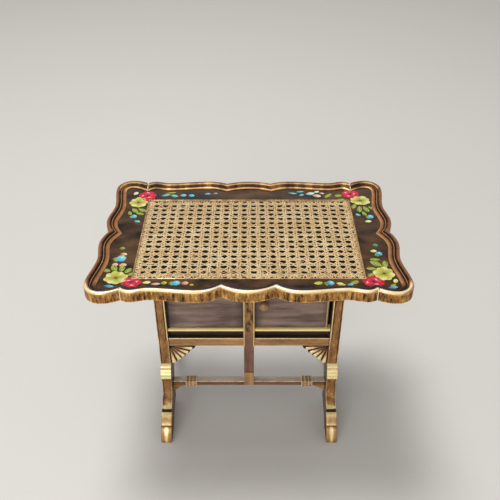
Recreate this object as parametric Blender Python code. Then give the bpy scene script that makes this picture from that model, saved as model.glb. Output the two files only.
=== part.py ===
"""Tray-top table: a scalloped gilt tray with a cane centre, lifted on a trestle stand with a cupboard.

Lengths are metres, +Z is up and the front faces -Y. The origin is on the floor under the tray's centre.
"""
import math

import bmesh
import bpy
from mathutils import Matrix, Vector
from mathutils.geometry import interpolate_bezier

# Overall sizes, and the gap left where two pieces touch
TABLE_HEIGHT = 0.470
TRAY_WIDTH = 0.606
TRAY_DEPTH = 0.404
CLEARANCE = 0.0003
CURVE_STEPS = 3
BEAD_STEPS = 4
ROUND_SIDES = 16
SMOOTH_ANGLE = math.radians(50)
MERGE_DISTANCE = 1e-6

# Scalloped outline of the tray. A depth is measured inwards from the overall width or depth,
# a place along an edge from the middle of that edge, and an inset from the end of a long edge.
# The width is taken half way back: the tray widens to the front and narrows to the back by the
# taper. Its middle lies behind the middle of the stand and the cane by the setback.
TRAY_TAPER = 0.018
TRAY_SETBACK = 0.010
CORNER_RADIUS = 0.034
SIDE_CUSP_DEPTH = 0.0155
SIDE_LOBE_DEPTH = 0.0025
SIDE_LOBE_AT = 0.039
SIDE_WAIST_DEPTH = 0.0095
SIDE_WAIST_AT = 0.096
JOINT_DEPTH = 0.0105
JOINT_INSET = 0.069
SHOULDER_DEPTH = 0.0045
SHOULDER_INSET = 0.087
HOLLOW_DEPTH = 0.0105
HOLLOW_INSET = 0.120
LONG_LOBE_DEPTH = 0.0037
LONG_LOBE_AT = 0.090
FRONT_CUSP_DEPTH = 0.019
BACK_CUSP_DEPTH = 0.013
LONG_CUSP_AT = 0.050
CENTRE_LOBE_DEPTH = 0.004

# Section of the rim moulding
RIM_HEIGHT = 0.0245
RIM_WIDTH = 0.0225
ROLL_WIDTH = 0.009
ROLL_RISE = 0.004
FILLET_WIDTH = 0.0035
FILLET_RISE = 0.0012
COVE_DROP = 0.0064
BAND_WIDTH = 0.0072
BAND_RISE = 0.0014
REBATE_WALL = 0.0145

# Tray floor, cane and battens
FLOOR_DROP = 0.0085
FLOOR_THICK = 0.008
SIDE_BORDER = 0.082
LONG_BORDER = 0.064
CANE_THICK = 0.0024
CANE_COLUMNS = 22
CANE_ROWS = 15
CANE_SIDE_MARGIN = 0.013
CANE_LONG_MARGIN = 0.0165
CANE_STRAND = 0.0085
BEAD_WIDTH = 0.003
BEAD_RISE = 0.0012
BATTEN_WIDTH = 0.014
BATTEN_HEIGHT = 0.015
BATTEN_PLAY = 0.0015
SIDE_BATTEN_LENGTH = 0.120
LONG_BATTEN_LENGTH = 0.300

# Trestle ends: a board with a swept leg under a gilt knee in front, and a raked leg behind
STAND_WIDTH = 0.396
END_THICK = 0.022
END_TOP_HALF = 0.0705
END_MIDDLE_HALF = 0.0645
END_MIDDLE_HEIGHT = 0.230
END_WAIST_HALF = 0.063
KNEE_TOP = 0.157
KNEE_BASE = 0.124
KNEE_SEAT_HALF = 0.0735
KNEE_REACH = 0.0095
KNEE_LIP = 0.006
KNEE_OVERHANG = 0.0005
NECK_TOP_HALF = 0.078
NECK_HALF = 0.077
NECK_HEIGHT = 0.081
SWEEP_HALF = 0.093
SWEEP_HEIGHT = 0.0665
FOOT_SEAT_HALF = 0.1135
FOOT_SEAT_HEIGHT = 0.0565
FOOT_REACH = 0.0465
FOOT_HEIGHT = 0.0545
FOOT_TOP_LENGTH = 0.010
FOOT_MIDDLE = 0.034
FOOT_TIP_HEIGHT = 0.007
FOOT_OVERHANG = 0.001
SOLE_END = 0.097
SOLE_RISE = 0.015
HEEL_AT = 0.031
ARCH_SHOULDER_AT = 0.028
ARCH_SHOULDER_HEIGHT = 0.078
ARCH_TOP_AT = 0.008
ARCH_TOP = 0.128
RAKE_AT = 0.080
RAKE_HEIGHT = 0.081
RAKE_BACK_AT = 0.122
RAKE_BACK_HEIGHT = 0.104
RAKE_FOOT_FRONT = 0.156
RAKE_FOOT_BACK = 0.190

# Cupboard between the ends
TOP_BOARD_THICK = 0.008
TOP_BOARD_DEPTH = 0.144
TOP_RAIL_HEIGHT = 0.0127
TOP_RAIL_SETBACK = 0.002
RAIL_BASE = 0.210
RAIL_HEIGHT = 0.0225
RAIL_THICK = 0.016
RAIL_FRONT = 0.062
FRIEZE_HEIGHT = 0.019
FRIEZE_THICK = 0.006
SILL_HEIGHT = 0.007
CUPBOARD_FLOOR_THICK = 0.008
BACK_THICK = 0.006
PANEL_FRONT = 0.0565
PANEL_THICK = 0.012
STRIP_WIDTH = 0.0035
STRIP_RISE = 0.0025
STRIP_INSET = 0.001

# Centre post
POST_WIDTH = 0.022
POST_FRONT = 0.064
POST_BEAD_OVERHANG = 0.0012
POST_PLATE_TOP = 0.129
POST_PLATE_THICK = 0.002

# Door, its stop, knob and pivots
DOOR_GAP = 0.002
DOOR_HINGE_GAP = 0.006
DOOR_KNOB_INSET = 0.018
DOOR_KNOB_HEIGHT = 0.333
KNOB_RADIUS = 0.011
KNOB_LENGTH = 0.022
KNOB_NECK_RADIUS = 0.0055
KNOB_NECK_LENGTH = 0.006
KNOB_STEPS = 6
PIVOT_INSET = 0.006
PIVOT_RADIUS = 0.0025
PIVOT_LENGTH = 0.011
PIVOT_PLAY = 0.0004
WASHER_RADIUS = 0.0045
WASHER_THICK = 0.0012
STOP_WIDTH = 0.012
STOP_THICK = 0.008

# Fan brackets and stretcher
FAN_WIDTH = 0.062
FAN_HEIGHT = 0.062
FAN_THICK = 0.014
FAN_SETBACK = 0.002
FAN_PETALS = 5
FAN_STEPS = 4
FAN_FLUTE = 0.005
FAN_SCALLOP = 0.06
FAN_FLATNESS = 0.85
STRETCHER_BASE = 0.076
STRETCHER_HEIGHT = 0.013
STRETCHER_THICK = 0.016
STRETCHER_FRONT = 0.055
BRACKET_WIDTH = 0.028
BRACKET_HEIGHT = 0.019
BRACKET_HOLLOW = 0.35
BRACKET_SETBACK = 0.001
BRACKET_STEPS = 6
BAND_PLATE_INSET = 0.042
BAND_PLATE_LENGTH = 0.026
BAND_PLATE_HEIGHT = 0.016
BAND_PLATE_THICK = 0.002

EDGE = 0.0008

# Levels that follow from the sizes above
CANE_WIDTH = TRAY_WIDTH - 2 * SIDE_BORDER
CANE_DEPTH = TRAY_DEPTH - 2 * LONG_BORDER
FLOOR_TOP = TABLE_HEIGHT - FLOOR_DROP
FLOOR_BASE = FLOOR_TOP - FLOOR_THICK
STAND_TOP = FLOOR_BASE - CLEARANCE
BOARD_BASE = STAND_TOP - TOP_BOARD_THICK
END_TOP = BOARD_BASE - CLEARANCE
END_INNER = STAND_WIDTH / 2 - END_THICK
BAY_EDGE = END_INNER - CLEARANCE
POST_EDGE = POST_WIDTH / 2 + CLEARANCE
RAIL_TOP = RAIL_BASE + RAIL_HEIGHT
RAIL_BACK = RAIL_FRONT - RAIL_THICK
FRIEZE_BASE = RAIL_TOP + CLEARANCE
SILL_BASE = FRIEZE_BASE + FRIEZE_HEIGHT + CLEARANCE
SILL_TOP = SILL_BASE + SILL_HEIGHT
TOP_RAIL_BASE = END_TOP - TOP_RAIL_HEIGHT
PANEL_BACK = PANEL_FRONT - PANEL_THICK
STRETCHER_TOP = STRETCHER_BASE + STRETCHER_HEIGHT
BAND_PLATE_AT = END_INNER - BAND_PLATE_INSET
PIVOT_X = BAY_EDGE - DOOR_HINGE_GAP - PIVOT_INSET
PIVOT_Y = -(PANEL_FRONT + PANEL_BACK) / 2


def clear_scene():
    for obj in list(bpy.data.objects):
        bpy.data.objects.remove(obj, do_unlink=True)


def make_material(name, colour, roughness, metallic):
    material = bpy.data.materials.new(name)
    material.use_nodes = True
    shader = material.node_tree.nodes["Principled BSDF"]
    shader.inputs["Base Color"].default_value = (*colour, 1.0)
    shader.inputs["Roughness"].default_value = roughness
    shader.inputs["Metallic"].default_value = metallic
    material.diffuse_color = (*colour, 1.0)
    return material


def make_empty(name, place):
    empty = bpy.data.objects.new(name, None)
    empty.location = place
    bpy.context.scene.collection.objects.link(empty)
    return empty


def add_object(name, bm, material, parent, smooth_angle=None):
    """Turn a bmesh in world coordinates into an object that hangs on its parent."""
    bmesh.ops.recalc_face_normals(bm, faces=bm.faces[:])
    bmesh.ops.translate(bm, verts=bm.verts[:], vec=-parent.location)
    mesh = bpy.data.meshes.new(name)
    bm.to_mesh(mesh)
    bm.free()
    mesh.materials.append(material)
    if smooth_angle is not None:
        mesh.shade_smooth()
        mesh.set_sharp_from_angle(angle=smooth_angle)
    obj = bpy.data.objects.new(name, mesh)
    obj.parent = parent
    bpy.context.scene.collection.objects.link(obj)
    return obj


def box_mesh(low, high, bevel=0.0):
    """A cuboid between two corners, with its edges eased where a bevel is given."""
    low = Vector(low)
    high = Vector(high)
    bm = bmesh.new()
    bmesh.ops.create_cube(bm, size=1.0)
    bmesh.ops.scale(bm, verts=bm.verts[:], vec=high - low)
    bmesh.ops.translate(bm, verts=bm.verts[:], vec=(low + high) / 2)
    if bevel > 0.0:
        bmesh.ops.bevel(bm, geom=bm.edges[:], offset=bevel, segments=1, profile=0.5,
                        affect="EDGES", material=-1)
    return bm


def prism_mesh(outline, depth):
    """Extrude a flat outline of 3-D points along a vector."""
    bm = bmesh.new()
    face = bm.faces.new([bm.verts.new(point) for point in outline])
    grown = bmesh.ops.extrude_face_region(bm, geom=[face])
    moved = [item for item in grown["geom"] if isinstance(item, bmesh.types.BMVert)]
    bmesh.ops.translate(bm, verts=moved, vec=depth)
    return bm


def loft_mesh(sections, closed):
    """Join a row of like sections with quads, and cap the two ends of an open row."""
    bm = bmesh.new()
    rings = [[bm.verts.new(point) for point in section] for section in sections]
    pairs = list(zip(rings, rings[1:]))
    if closed:
        pairs.append((rings[-1], rings[0]))
    else:
        bm.faces.new(rings[0])
        bm.faces.new(rings[-1])
    for first, second in pairs:
        for i in range(len(first)):
            j = (i + 1) % len(first)
            bm.faces.new((first[i], first[j], second[j], second[i]))
    return bm


def turned_mesh(profile, base, axis):
    """Spin a profile of (radius, height) pairs round an axis through the base point."""
    bm = bmesh.new()
    verts = [bm.verts.new((radius, 0.0, height)) for radius, height in profile]
    edges = [bm.edges.new(pair) for pair in zip(verts, verts[1:])]
    if profile[0][0] > 0.0:
        edges.append(bm.edges.new((verts[-1], verts[0])))
    bmesh.ops.spin(bm, geom=verts + edges, cent=(0, 0, 0), axis=(0, 0, 1), dvec=(0, 0, 0),
                   angle=math.tau, steps=ROUND_SIDES, use_merge=True)
    bmesh.ops.remove_doubles(bm, verts=bm.verts[:], dist=MERGE_DISTANCE)
    turn = Vector((0, 0, 1)).rotation_difference(Vector(axis)).to_matrix().to_4x4()
    bmesh.ops.transform(bm, matrix=Matrix.Translation(base) @ turn, verts=bm.verts[:])
    return bm


def half_round(centre, half_width, rise):
    """Outline of a half-round bead as (across, proud) pairs, its flat side first."""
    turns = [math.pi * i / BEAD_STEPS for i in range(BEAD_STEPS + 1)]
    return [(centre - half_width * math.cos(a), rise * math.sin(a)) for a in turns]


def smooth_run(knots):
    """Points of a smooth curve through the knots, which ends freely at its first and last."""
    points = [Vector((x, y, 0.0)) for x, y in knots]
    chords = [(b - a).normalized() for a, b in zip(points, points[1:])]
    tangents = [(b - a).normalized() for a, b in zip(points, points[2:])]
    first = 2.0 * chords[0].dot(tangents[0]) * chords[0] - tangents[0]
    last = 2.0 * chords[-1].dot(tangents[-1]) * chords[-1] - tangents[-1]
    tangents = [first] + tangents + [last]
    run = [points[0]]
    for i in range(len(chords)):
        reach = (points[i + 1] - points[i]).length / 3.0
        leave = points[i] + tangents[i] * reach
        arrive = points[i + 1] - tangents[i + 1] * reach
        run += interpolate_bezier(points[i], leave, arrive, points[i + 1], CURVE_STEPS + 1)[1:]
    return run


def mirrored(run, x_sign, y_sign):
    """A run reflected in one axis or both, turned about where needed to run the same way round."""
    flipped = [Vector((p.x * x_sign, p.y * y_sign, 0.0)) for p in run]
    if x_sign * y_sign < 0:
        flipped.reverse()
    return flipped


def inward_normals(run):
    last = len(run) - 1
    normals = []
    for i in range(len(run)):
        along = run[min(i + 1, last)] - run[max(i - 1, 0)]
        normals.append(Vector((-along.y, along.x, 0.0)).normalized())
    return normals


def long_edge(joint, cusp_depth):
    """Runs of a long edge from joint to joint, drawn as the back one, with cusps of the given depth."""
    half_width = TRAY_WIDTH / 2
    half_depth = TRAY_DEPTH / 2
    cusp = (LONG_CUSP_AT, half_depth - cusp_depth)
    shoulder = smooth_run([
        joint,
        (half_width - SHOULDER_INSET, half_depth - SHOULDER_DEPTH),
        (half_width - HOLLOW_INSET, half_depth - HOLLOW_DEPTH),
        (LONG_LOBE_AT, half_depth - LONG_LOBE_DEPTH),
        cusp])
    centre = smooth_run([cusp, (0.0, half_depth - CENTRE_LOBE_DEPTH), (-cusp[0], cusp[1])])
    return [shoulder, centre, mirrored(shoulder, -1, 1)]


def on_stand(point):
    """A point of the plain outline, drawn in towards the back and set back on the stand."""
    share = TRAY_TAPER * point.y / (TRAY_DEPTH / 2)
    return Vector((point.x * (1.0 - share), point.y + TRAY_SETBACK, 0.0))


def tray_stations():
    """Stations of the four rim lengths: outline points, each with its inward mitre vector."""
    half_width = TRAY_WIDTH / 2
    half_depth = TRAY_DEPTH / 2
    swing = CORNER_RADIUS * (1.0 - math.cos(math.pi / 4))
    joint = (half_width - JOINT_INSET, half_depth - JOINT_DEPTH)
    side = smooth_run([
        (half_width - SIDE_CUSP_DEPTH, 0.0),
        (half_width - SIDE_LOBE_DEPTH, SIDE_LOBE_AT),
        (half_width - SIDE_WAIST_DEPTH, SIDE_WAIST_AT),
        (half_width, half_depth - CORNER_RADIUS),
        (half_width - swing, half_depth - swing),
        (half_width - CORNER_RADIUS, half_depth),
        joint])
    right = [mirrored(side, 1, -1), side]
    back = long_edge(joint, BACK_CUSP_DEPTH)
    left = [mirrored(run, -1, -1) for run in right]
    front = [mirrored(run, -1, -1) for run in long_edge(joint, FRONT_CUSP_DEPTH)]
    runs = [[on_stand(point) for point in run] for run in right + back + left + front]
    normals = [inward_normals(run) for run in runs]
    mitred = []
    for i, run in enumerate(runs):
        before = normals[i - 1][-1]
        after = normals[(i + 1) % len(runs)][0]
        mitres = list(normals[i])
        mitres[0] = (before + mitres[0]) / (1.0 + before.dot(mitres[0]))
        mitres[-1] = (after + mitres[-1]) / (1.0 + after.dot(mitres[-1]))
        mitred.append(list(zip(run, mitres)))
    lengths = {}
    start = 0
    for name, part in (("right", right), ("back", back), ("left", left), ("front", front)):
        length = mitred[start]
        for run in mitred[start + 1:start + len(part)]:
            length = length + run[1:]
        lengths[name] = length
        start += len(part)
    return lengths


def rim_profile():
    """Section of the moulding as (inward, drop) pairs, from its outer foot to its rebate."""
    roll = [(across, ROLL_RISE - proud)
            for across, proud in half_round(ROLL_WIDTH / 2, ROLL_WIDTH / 2, ROLL_RISE)]
    fillet_end = ROLL_WIDTH + FILLET_WIDTH
    band_start = RIM_WIDTH - BAND_WIDTH
    cove_middle = (fillet_end + band_start) / 2
    seat = FLOOR_DROP - CLEARANCE
    return ([(0.0, RIM_HEIGHT)] + roll
            + [(ROLL_WIDTH + FILLET_WIDTH / 2, ROLL_RISE - FILLET_RISE),
               (fillet_end, ROLL_RISE),
               (cove_middle, COVE_DROP),
               (band_start, COVE_DROP - BAND_RISE),
               (RIM_WIDTH, seat),
               (REBATE_WALL, seat),
               (REBATE_WALL, RIM_HEIGHT)])


def build_rim(stations, parent, material):
    profile = rim_profile()
    for name, length in stations.items():
        points = [point for point, mitre in length]
        ease_first = (points[1] - points[0]).normalized() * CLEARANCE
        ease_last = (points[-2] - points[-1]).normalized() * CLEARANCE
        points[0] = points[0] + ease_first
        points[-1] = points[-1] + ease_last
        sections = []
        for point, (place, mitre) in zip(points, length):
            section = [point + mitre * inward + Vector((0, 0, TABLE_HEIGHT - drop))
                       for inward, drop in profile]
            sections.append(section)
        add_object("rim_" + name, loft_mesh(sections, False), material, parent, SMOOTH_ANGLE)


def build_floor(stations, parent, material):
    """The board fits the rebate of the rim, and is sunk where the cane lies."""
    inset = REBATE_WALL + CLEARANCE
    outline = []
    for length in stations.values():
        outline += [point + mitre * inset for point, mitre in length[:-1]]
    outline = [Vector((p.x, p.y, FLOOR_BASE)) for p in outline]
    floor = add_object("tray_floor", prism_mesh(outline, (0, 0, FLOOR_THICK)), material, parent)
    recess = CANE_THICK + 2 * CLEARANCE
    half = Vector((CANE_WIDTH / 2, CANE_DEPTH / 2, 0.0))
    cutter_mesh = box_mesh(Vector((0, 0, FLOOR_TOP - recess)) - half,
                           Vector((0, 0, FLOOR_TOP + recess)) + half)
    cutter = add_object("cane_recess_cutter", cutter_mesh, material, parent)
    hide_cutter(cutter)
    cut(floor, cutter)


def hide_cutter(cutter):
    cutter.hide_render = True
    cutter.display_type = "WIRE"


def cut(obj, cutter):
    modifier = obj.modifiers.new("cut_" + cutter.name, "BOOLEAN")
    modifier.operation = "DIFFERENCE"
    modifier.solver = "EXACT"
    modifier.object = cutter


def strand_edges(length, count, margin):
    """Places of the strand edges along one side of the cane, hole after hole."""
    half = length / 2 - CLEARANCE
    field = 2 * (half - margin)
    hole = (field - (count - 1) * CANE_STRAND) / count
    edges = [-half]
    for i in range(count):
        start = -half + margin + i * (hole + CANE_STRAND)
        edges += [start, start + hole]
    return edges + [half]


def build_cane(parent, material):
    """One open lattice: a sheet with a hole between every two strands each way."""
    across = strand_edges(CANE_WIDTH, CANE_COLUMNS, CANE_SIDE_MARGIN)
    along = strand_edges(CANE_DEPTH, CANE_ROWS, CANE_LONG_MARGIN)
    top = FLOOR_TOP - CLEARANCE
    bm = bmesh.new()
    grid = [[bm.verts.new((x, y, top)) for y in along] for x in across]
    for i in range(len(across) - 1):
        for j in range(len(along) - 1):
            is_hole = i % 2 == 1 and j % 2 == 1
            if not is_hole:
                bm.faces.new((grid[i][j], grid[i + 1][j], grid[i + 1][j + 1], grid[i][j + 1]))
    grown = bmesh.ops.extrude_face_region(bm, geom=bm.faces[:])
    moved = [item for item in grown["geom"] if isinstance(item, bmesh.types.BMVert)]
    bmesh.ops.translate(bm, verts=moved, vec=(0, 0, -CANE_THICK))
    add_object("cane_panel", bm, material, parent)


def build_cane_bead(parent, material):
    """Half-round bead, mitred at its corners, over the joint between cane and board."""
    section = half_round(0.0, BEAD_WIDTH / 2, BEAD_RISE)
    base = FLOOR_TOP + CLEARANCE
    sections = []
    for x_sign, y_sign in ((1, -1), (1, 1), (-1, 1), (-1, -1)):
        corner = [Vector((x_sign * (CANE_WIDTH / 2 + across), y_sign * (CANE_DEPTH / 2 + across),
                          base + proud)) for across, proud in section]
        sections.append(corner)
    add_object("cane_bead", loft_mesh(sections, True), material, parent, SMOOTH_ANGLE)


def build_battens(parent, material):
    """Battens that hang under the tray, just outside the stand's top board."""
    top = FLOOR_BASE - CLEARANCE
    base = top - BATTEN_HEIGHT
    side_inner = STAND_WIDTH / 2 + BATTEN_PLAY
    long_inner = TOP_BOARD_DEPTH / 2 + BATTEN_PLAY
    for name, sign in (("left", -1), ("right", 1)):
        xs = sorted((sign * side_inner, sign * (side_inner + BATTEN_WIDTH)))
        low = (xs[0], -SIDE_BATTEN_LENGTH / 2, base)
        high = (xs[1], SIDE_BATTEN_LENGTH / 2, top)
        add_object("batten_" + name, box_mesh(low, high, EDGE), material, parent)
    for name, sign in (("front", -1), ("rear", 1)):
        ys = sorted((sign * long_inner, sign * (long_inner + BATTEN_WIDTH)))
        low = (-LONG_BATTEN_LENGTH / 2, ys[0], base)
        high = (LONG_BATTEN_LENGTH / 2, ys[1], top)
        add_object("batten_" + name, box_mesh(low, high, EDGE), material, parent)


def end_outline():
    """Edge of an end board as (y, z) pairs: swept front leg, arch, raked rear leg."""
    front_edge = smooth_run([(-END_TOP_HALF, END_TOP), (-END_MIDDLE_HALF, END_MIDDLE_HEIGHT),
                             (-END_WAIST_HALF, KNEE_TOP)])
    rear_edge = mirrored(front_edge, -1, 1)
    sweep = smooth_run([(-NECK_TOP_HALF, KNEE_BASE), (-NECK_HALF, NECK_HEIGHT),
                        (-SWEEP_HALF, SWEEP_HEIGHT), (-FOOT_SEAT_HALF, FOOT_SEAT_HEIGHT)])
    sole = smooth_run([(-SOLE_END, 0.0), (-(SOLE_END + HEEL_AT) / 2, SOLE_RISE), (-HEEL_AT, SOLE_RISE)])
    arch = smooth_run([(-HEEL_AT, SOLE_RISE), (-ARCH_SHOULDER_AT, ARCH_SHOULDER_HEIGHT),
                       (ARCH_TOP_AT, ARCH_TOP)])
    rake = smooth_run([(ARCH_TOP_AT, ARCH_TOP), (RAKE_AT, RAKE_HEIGHT), (RAKE_FOOT_FRONT, 0.0)])
    rake_back = smooth_run([(RAKE_FOOT_BACK, 0.0), (RAKE_BACK_AT, RAKE_BACK_HEIGHT),
                            (END_WAIST_HALF, KNEE_TOP)])
    knee_seat = [Vector((-KNEE_SEAT_HALF, KNEE_BASE, 0.0))]
    foot_seat = [Vector((-FOOT_SEAT_HALF, 0.0, 0.0))]
    points = (front_edge + knee_seat + sweep + foot_seat + sole + arch[1:] + rake[1:]
              + rake_back + rear_edge[1:])
    return [(p.x, p.y) for p in points]


def knee_outline():
    """Gilt knee that swells forward from the edge of the end board, over a small ledge."""
    tip = KNEE_SEAT_HALF + KNEE_REACH
    base = KNEE_BASE + CLEARANCE
    swell = (END_WAIST_HALF + tip) / 2
    return [(-END_WAIST_HALF - CLEARANCE, KNEE_TOP),
            (-swell, (KNEE_TOP + KNEE_BASE) / 2 + KNEE_LIP),
            (-tip, base + KNEE_LIP),
            (-tip + KNEE_LIP / 2, base),
            (-KNEE_SEAT_HALF - CLEARANCE, base)]


def foot_outline():
    """Toe block, rounded down to its tip, in front of a narrow groove."""
    seat = FOOT_SEAT_HALF + CLEARANCE
    toe = smooth_run([(-seat - FOOT_TOP_LENGTH, FOOT_HEIGHT - EDGE),
                      (-seat - FOOT_MIDDLE, FOOT_HEIGHT / 2),
                      (-seat - FOOT_REACH, FOOT_TIP_HEIGHT)])
    return ([(-seat, 0.0), (-seat, FOOT_HEIGHT - 2 * EDGE), (-seat - 2 * EDGE, FOOT_HEIGHT)]
            + [(p.x, p.y) for p in toe] + [(-seat - FOOT_REACH, 0.0)])


def upright_board(name, outline, middle, thick, material, parent):
    """A board cut to an outline of (y, z) pairs, standing across X."""
    points = [Vector((middle - thick / 2, y, z)) for y, z in outline]
    add_object(name, prism_mesh(points, (thick, 0, 0)), material, parent)


def build_end(name, sign, parent, wood, gilt):
    middle = sign * (END_INNER + END_THICK / 2)
    upright_board("end_" + name, end_outline(), middle, END_THICK, wood, parent)
    upright_board("knee_" + name, knee_outline(), middle, END_THICK + 2 * KNEE_OVERHANG, gilt, parent)
    upright_board("foot_" + name, foot_outline(), middle, END_THICK + 2 * FOOT_OVERHANG, gilt, parent)


def bay(sign):
    """X limits of one bay between the post and an end board, in rising order."""
    return sorted((sign * POST_EDGE, sign * BAY_EDGE))


def build_carcase(parent, wood, gilt, dark, panel_wood):
    half_top = TOP_BOARD_DEPTH / 2
    add_object("top_board", box_mesh((-STAND_WIDTH / 2, -half_top, BOARD_BASE),
                                     (STAND_WIDTH / 2, half_top, STAND_TOP), EDGE), dark, parent)
    for name, sign in (("left", -1), ("right", 1)):
        x0, x1 = bay(sign)
        add_object("rail_" + name, box_mesh((x0, -RAIL_FRONT, RAIL_BASE), (x1, -RAIL_BACK, RAIL_TOP),
                                            EDGE), wood, parent)
        add_object("frieze_" + name, box_mesh((x0, -RAIL_BACK - FRIEZE_THICK, FRIEZE_BASE),
                                              (x1, -RAIL_BACK, FRIEZE_BASE + FRIEZE_HEIGHT)),
                   dark, parent)
        nose = half_round(SILL_BASE + SILL_HEIGHT / 2, SILL_HEIGHT / 2, SILL_HEIGHT / 2)
        nose_root = RAIL_FRONT - SILL_HEIGHT / 2
        sill = [Vector((x0, -(nose_root + proud), height)) for height, proud in nose]
        sill += [Vector((x0, -PANEL_BACK, SILL_TOP)), Vector((x0, -PANEL_BACK, SILL_BASE))]
        add_object("sill_" + name, prism_mesh(sill, (x1 - x0, 0, 0)), gilt, parent)
        add_object("top_rail_" + name, box_mesh((x0, -RAIL_FRONT + TOP_RAIL_SETBACK, TOP_RAIL_BASE),
                                                (x1, -RAIL_BACK, END_TOP - CLEARANCE)), wood, parent)
    add_object("rail_rear", box_mesh((-BAY_EDGE, RAIL_BACK, RAIL_BASE), (BAY_EDGE, RAIL_FRONT, RAIL_TOP),
                                     EDGE), wood, parent)
    add_object("top_rail_rear", box_mesh((-BAY_EDGE, RAIL_BACK, TOP_RAIL_BASE),
                                         (BAY_EDGE, RAIL_FRONT, END_TOP - CLEARANCE)), wood, parent)
    back_front = (RAIL_BACK + RAIL_FRONT - BACK_THICK) / 2
    add_object("back_panel", box_mesh((-BAY_EDGE, back_front, RAIL_TOP + CLEARANCE),
                                      (BAY_EDGE, back_front + BACK_THICK, TOP_RAIL_BASE - CLEARANCE)),
               panel_wood, parent)
    floor_front = min(RAIL_BACK, PANEL_BACK) - CLEARANCE
    add_object("cupboard_floor", box_mesh((-BAY_EDGE, -floor_front, SILL_TOP - CUPBOARD_FLOOR_THICK),
                                          (BAY_EDGE, back_front - CLEARANCE, SILL_TOP)), dark, parent)


def upright_strip(name, x_middle, face, base, top, parent, material):
    """Half-round gilt strip up a face that looks to the front."""
    section = half_round(x_middle, STRIP_WIDTH / 2, STRIP_RISE)
    outline = [Vector((x, -(face + CLEARANCE + proud), base)) for x, proud in section]
    add_object(name, prism_mesh(outline, (0, 0, top - base)), material, parent, SMOOTH_ANGLE)


def build_post(parent, wood, gilt, pale):
    base = STRETCHER_TOP + CLEARANCE
    half = POST_WIDTH / 2
    add_object("centre_post", box_mesh((-half, -POST_FRONT, base),
                                       (half, -PANEL_BACK, END_TOP - CLEARANCE)), wood, parent)
    for name, sign in (("left", -1), ("right", 1)):
        upright_strip("post_bead_" + name, sign * (half + POST_BEAD_OVERHANG - STRIP_WIDTH / 2), POST_FRONT,
                      RAIL_BASE, END_TOP - CLEARANCE, parent, gilt)
    plate_back = POST_FRONT + CLEARANCE
    add_object("post_foot_plate", box_mesh((-half, -plate_back - POST_PLATE_THICK, base),
                                           (half, -plate_back, POST_PLATE_TOP), EDGE / 2), pale, parent)


def build_fixed_panel(parent, wood, gilt):
    base = SILL_TOP + CLEARANCE
    top = TOP_RAIL_BASE - CLEARANCE
    add_object("fixed_panel", box_mesh((-BAY_EDGE, -PANEL_FRONT, base), (-POST_EDGE, -PANEL_BACK, top)),
               wood, parent)
    upright_strip("fixed_panel_bead", -BAY_EDGE + STRIP_INSET + STRIP_WIDTH / 2, PANEL_FRONT, base, top,
                  parent, gilt)


def build_door_hardware(parent, wood, brass):
    """What the door turns on and shuts against, all fixed to the stand."""
    lower = Vector((PIVOT_X, PIVOT_Y, SILL_TOP + CLEARANCE))
    upper = Vector((PIVOT_X, PIVOT_Y, TOP_RAIL_BASE - CLEARANCE))
    pin = [(0.0, 0.0), (PIVOT_RADIUS, 0.0), (PIVOT_RADIUS, PIVOT_LENGTH), (0.0, PIVOT_LENGTH)]
    add_object("pivot_pin_lower", turned_mesh(pin, lower, (0, 0, 1)), brass, parent, SMOOTH_ANGLE)
    add_object("pivot_pin_upper", turned_mesh(pin, upper, (0, 0, -1)), brass, parent, SMOOTH_ANGLE)
    bore = PIVOT_RADIUS + PIVOT_PLAY
    ring = [(bore, 0.0), (WASHER_RADIUS, 0.0), (WASHER_RADIUS, WASHER_THICK), (bore, WASHER_THICK)]
    add_object("pivot_washer", turned_mesh(ring, lower, (0, 0, 1)), brass, parent, SMOOTH_ANGLE)
    stop_front = PANEL_BACK - CLEARANCE
    add_object("door_stop", box_mesh((-POST_WIDTH / 2, -stop_front, SILL_TOP + CLEARANCE),
                                     (POST_EDGE + DOOR_GAP + STOP_WIDTH, -stop_front + STOP_THICK,
                                      TOP_RAIL_BASE - CLEARANCE)), wood, parent)


def build_door(parent, wood, gilt):
    base = SILL_TOP + DOOR_GAP
    top = TOP_RAIL_BASE - DOOR_GAP
    free_edge = POST_EDGE + DOOR_GAP
    hinge_edge = BAY_EDGE - DOOR_HINGE_GAP
    door = add_object("door_panel", box_mesh((free_edge, -PANEL_FRONT, base),
                                             (hinge_edge, -PANEL_BACK, top)), wood, parent)
    bore = PIVOT_RADIUS + PIVOT_PLAY
    reach = PIVOT_LENGTH + PIVOT_PLAY
    for name, height, up in (("lower", SILL_TOP + CLEARANCE, 1), ("upper", TOP_RAIL_BASE - CLEARANCE, -1)):
        drill = [(0.0, -reach), (bore, -reach), (bore, reach), (0.0, reach)]
        cutter = add_object("pivot_bore_cutter_" + name,
                            turned_mesh(drill, (PIVOT_X, PIVOT_Y, height), (0, 0, up)), wood, parent)
        hide_cutter(cutter)
        cut(door, cutter)
    upright_strip("door_bead", hinge_edge - STRIP_INSET - STRIP_WIDTH / 2, PANEL_FRONT, base, top,
                  parent, gilt)
    head = KNOB_LENGTH - KNOB_NECK_LENGTH
    turns = [math.pi * i / KNOB_STEPS for i in range(1, KNOB_STEPS)]
    knob = [(0.0, 0.0), (KNOB_NECK_RADIUS, 0.0)]
    knob += [(KNOB_RADIUS * math.sin(a), KNOB_LENGTH - head * (1 + math.cos(a)) / 2) for a in turns]
    knob.append((0.0, KNOB_LENGTH))
    place = (free_edge + DOOR_KNOB_INSET, -PANEL_FRONT - CLEARANCE, DOOR_KNOB_HEIGHT)
    add_object("door_knob", turned_mesh(knob, place, (0, -1, 0)), gilt, parent, SMOOTH_ANGLE)


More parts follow.
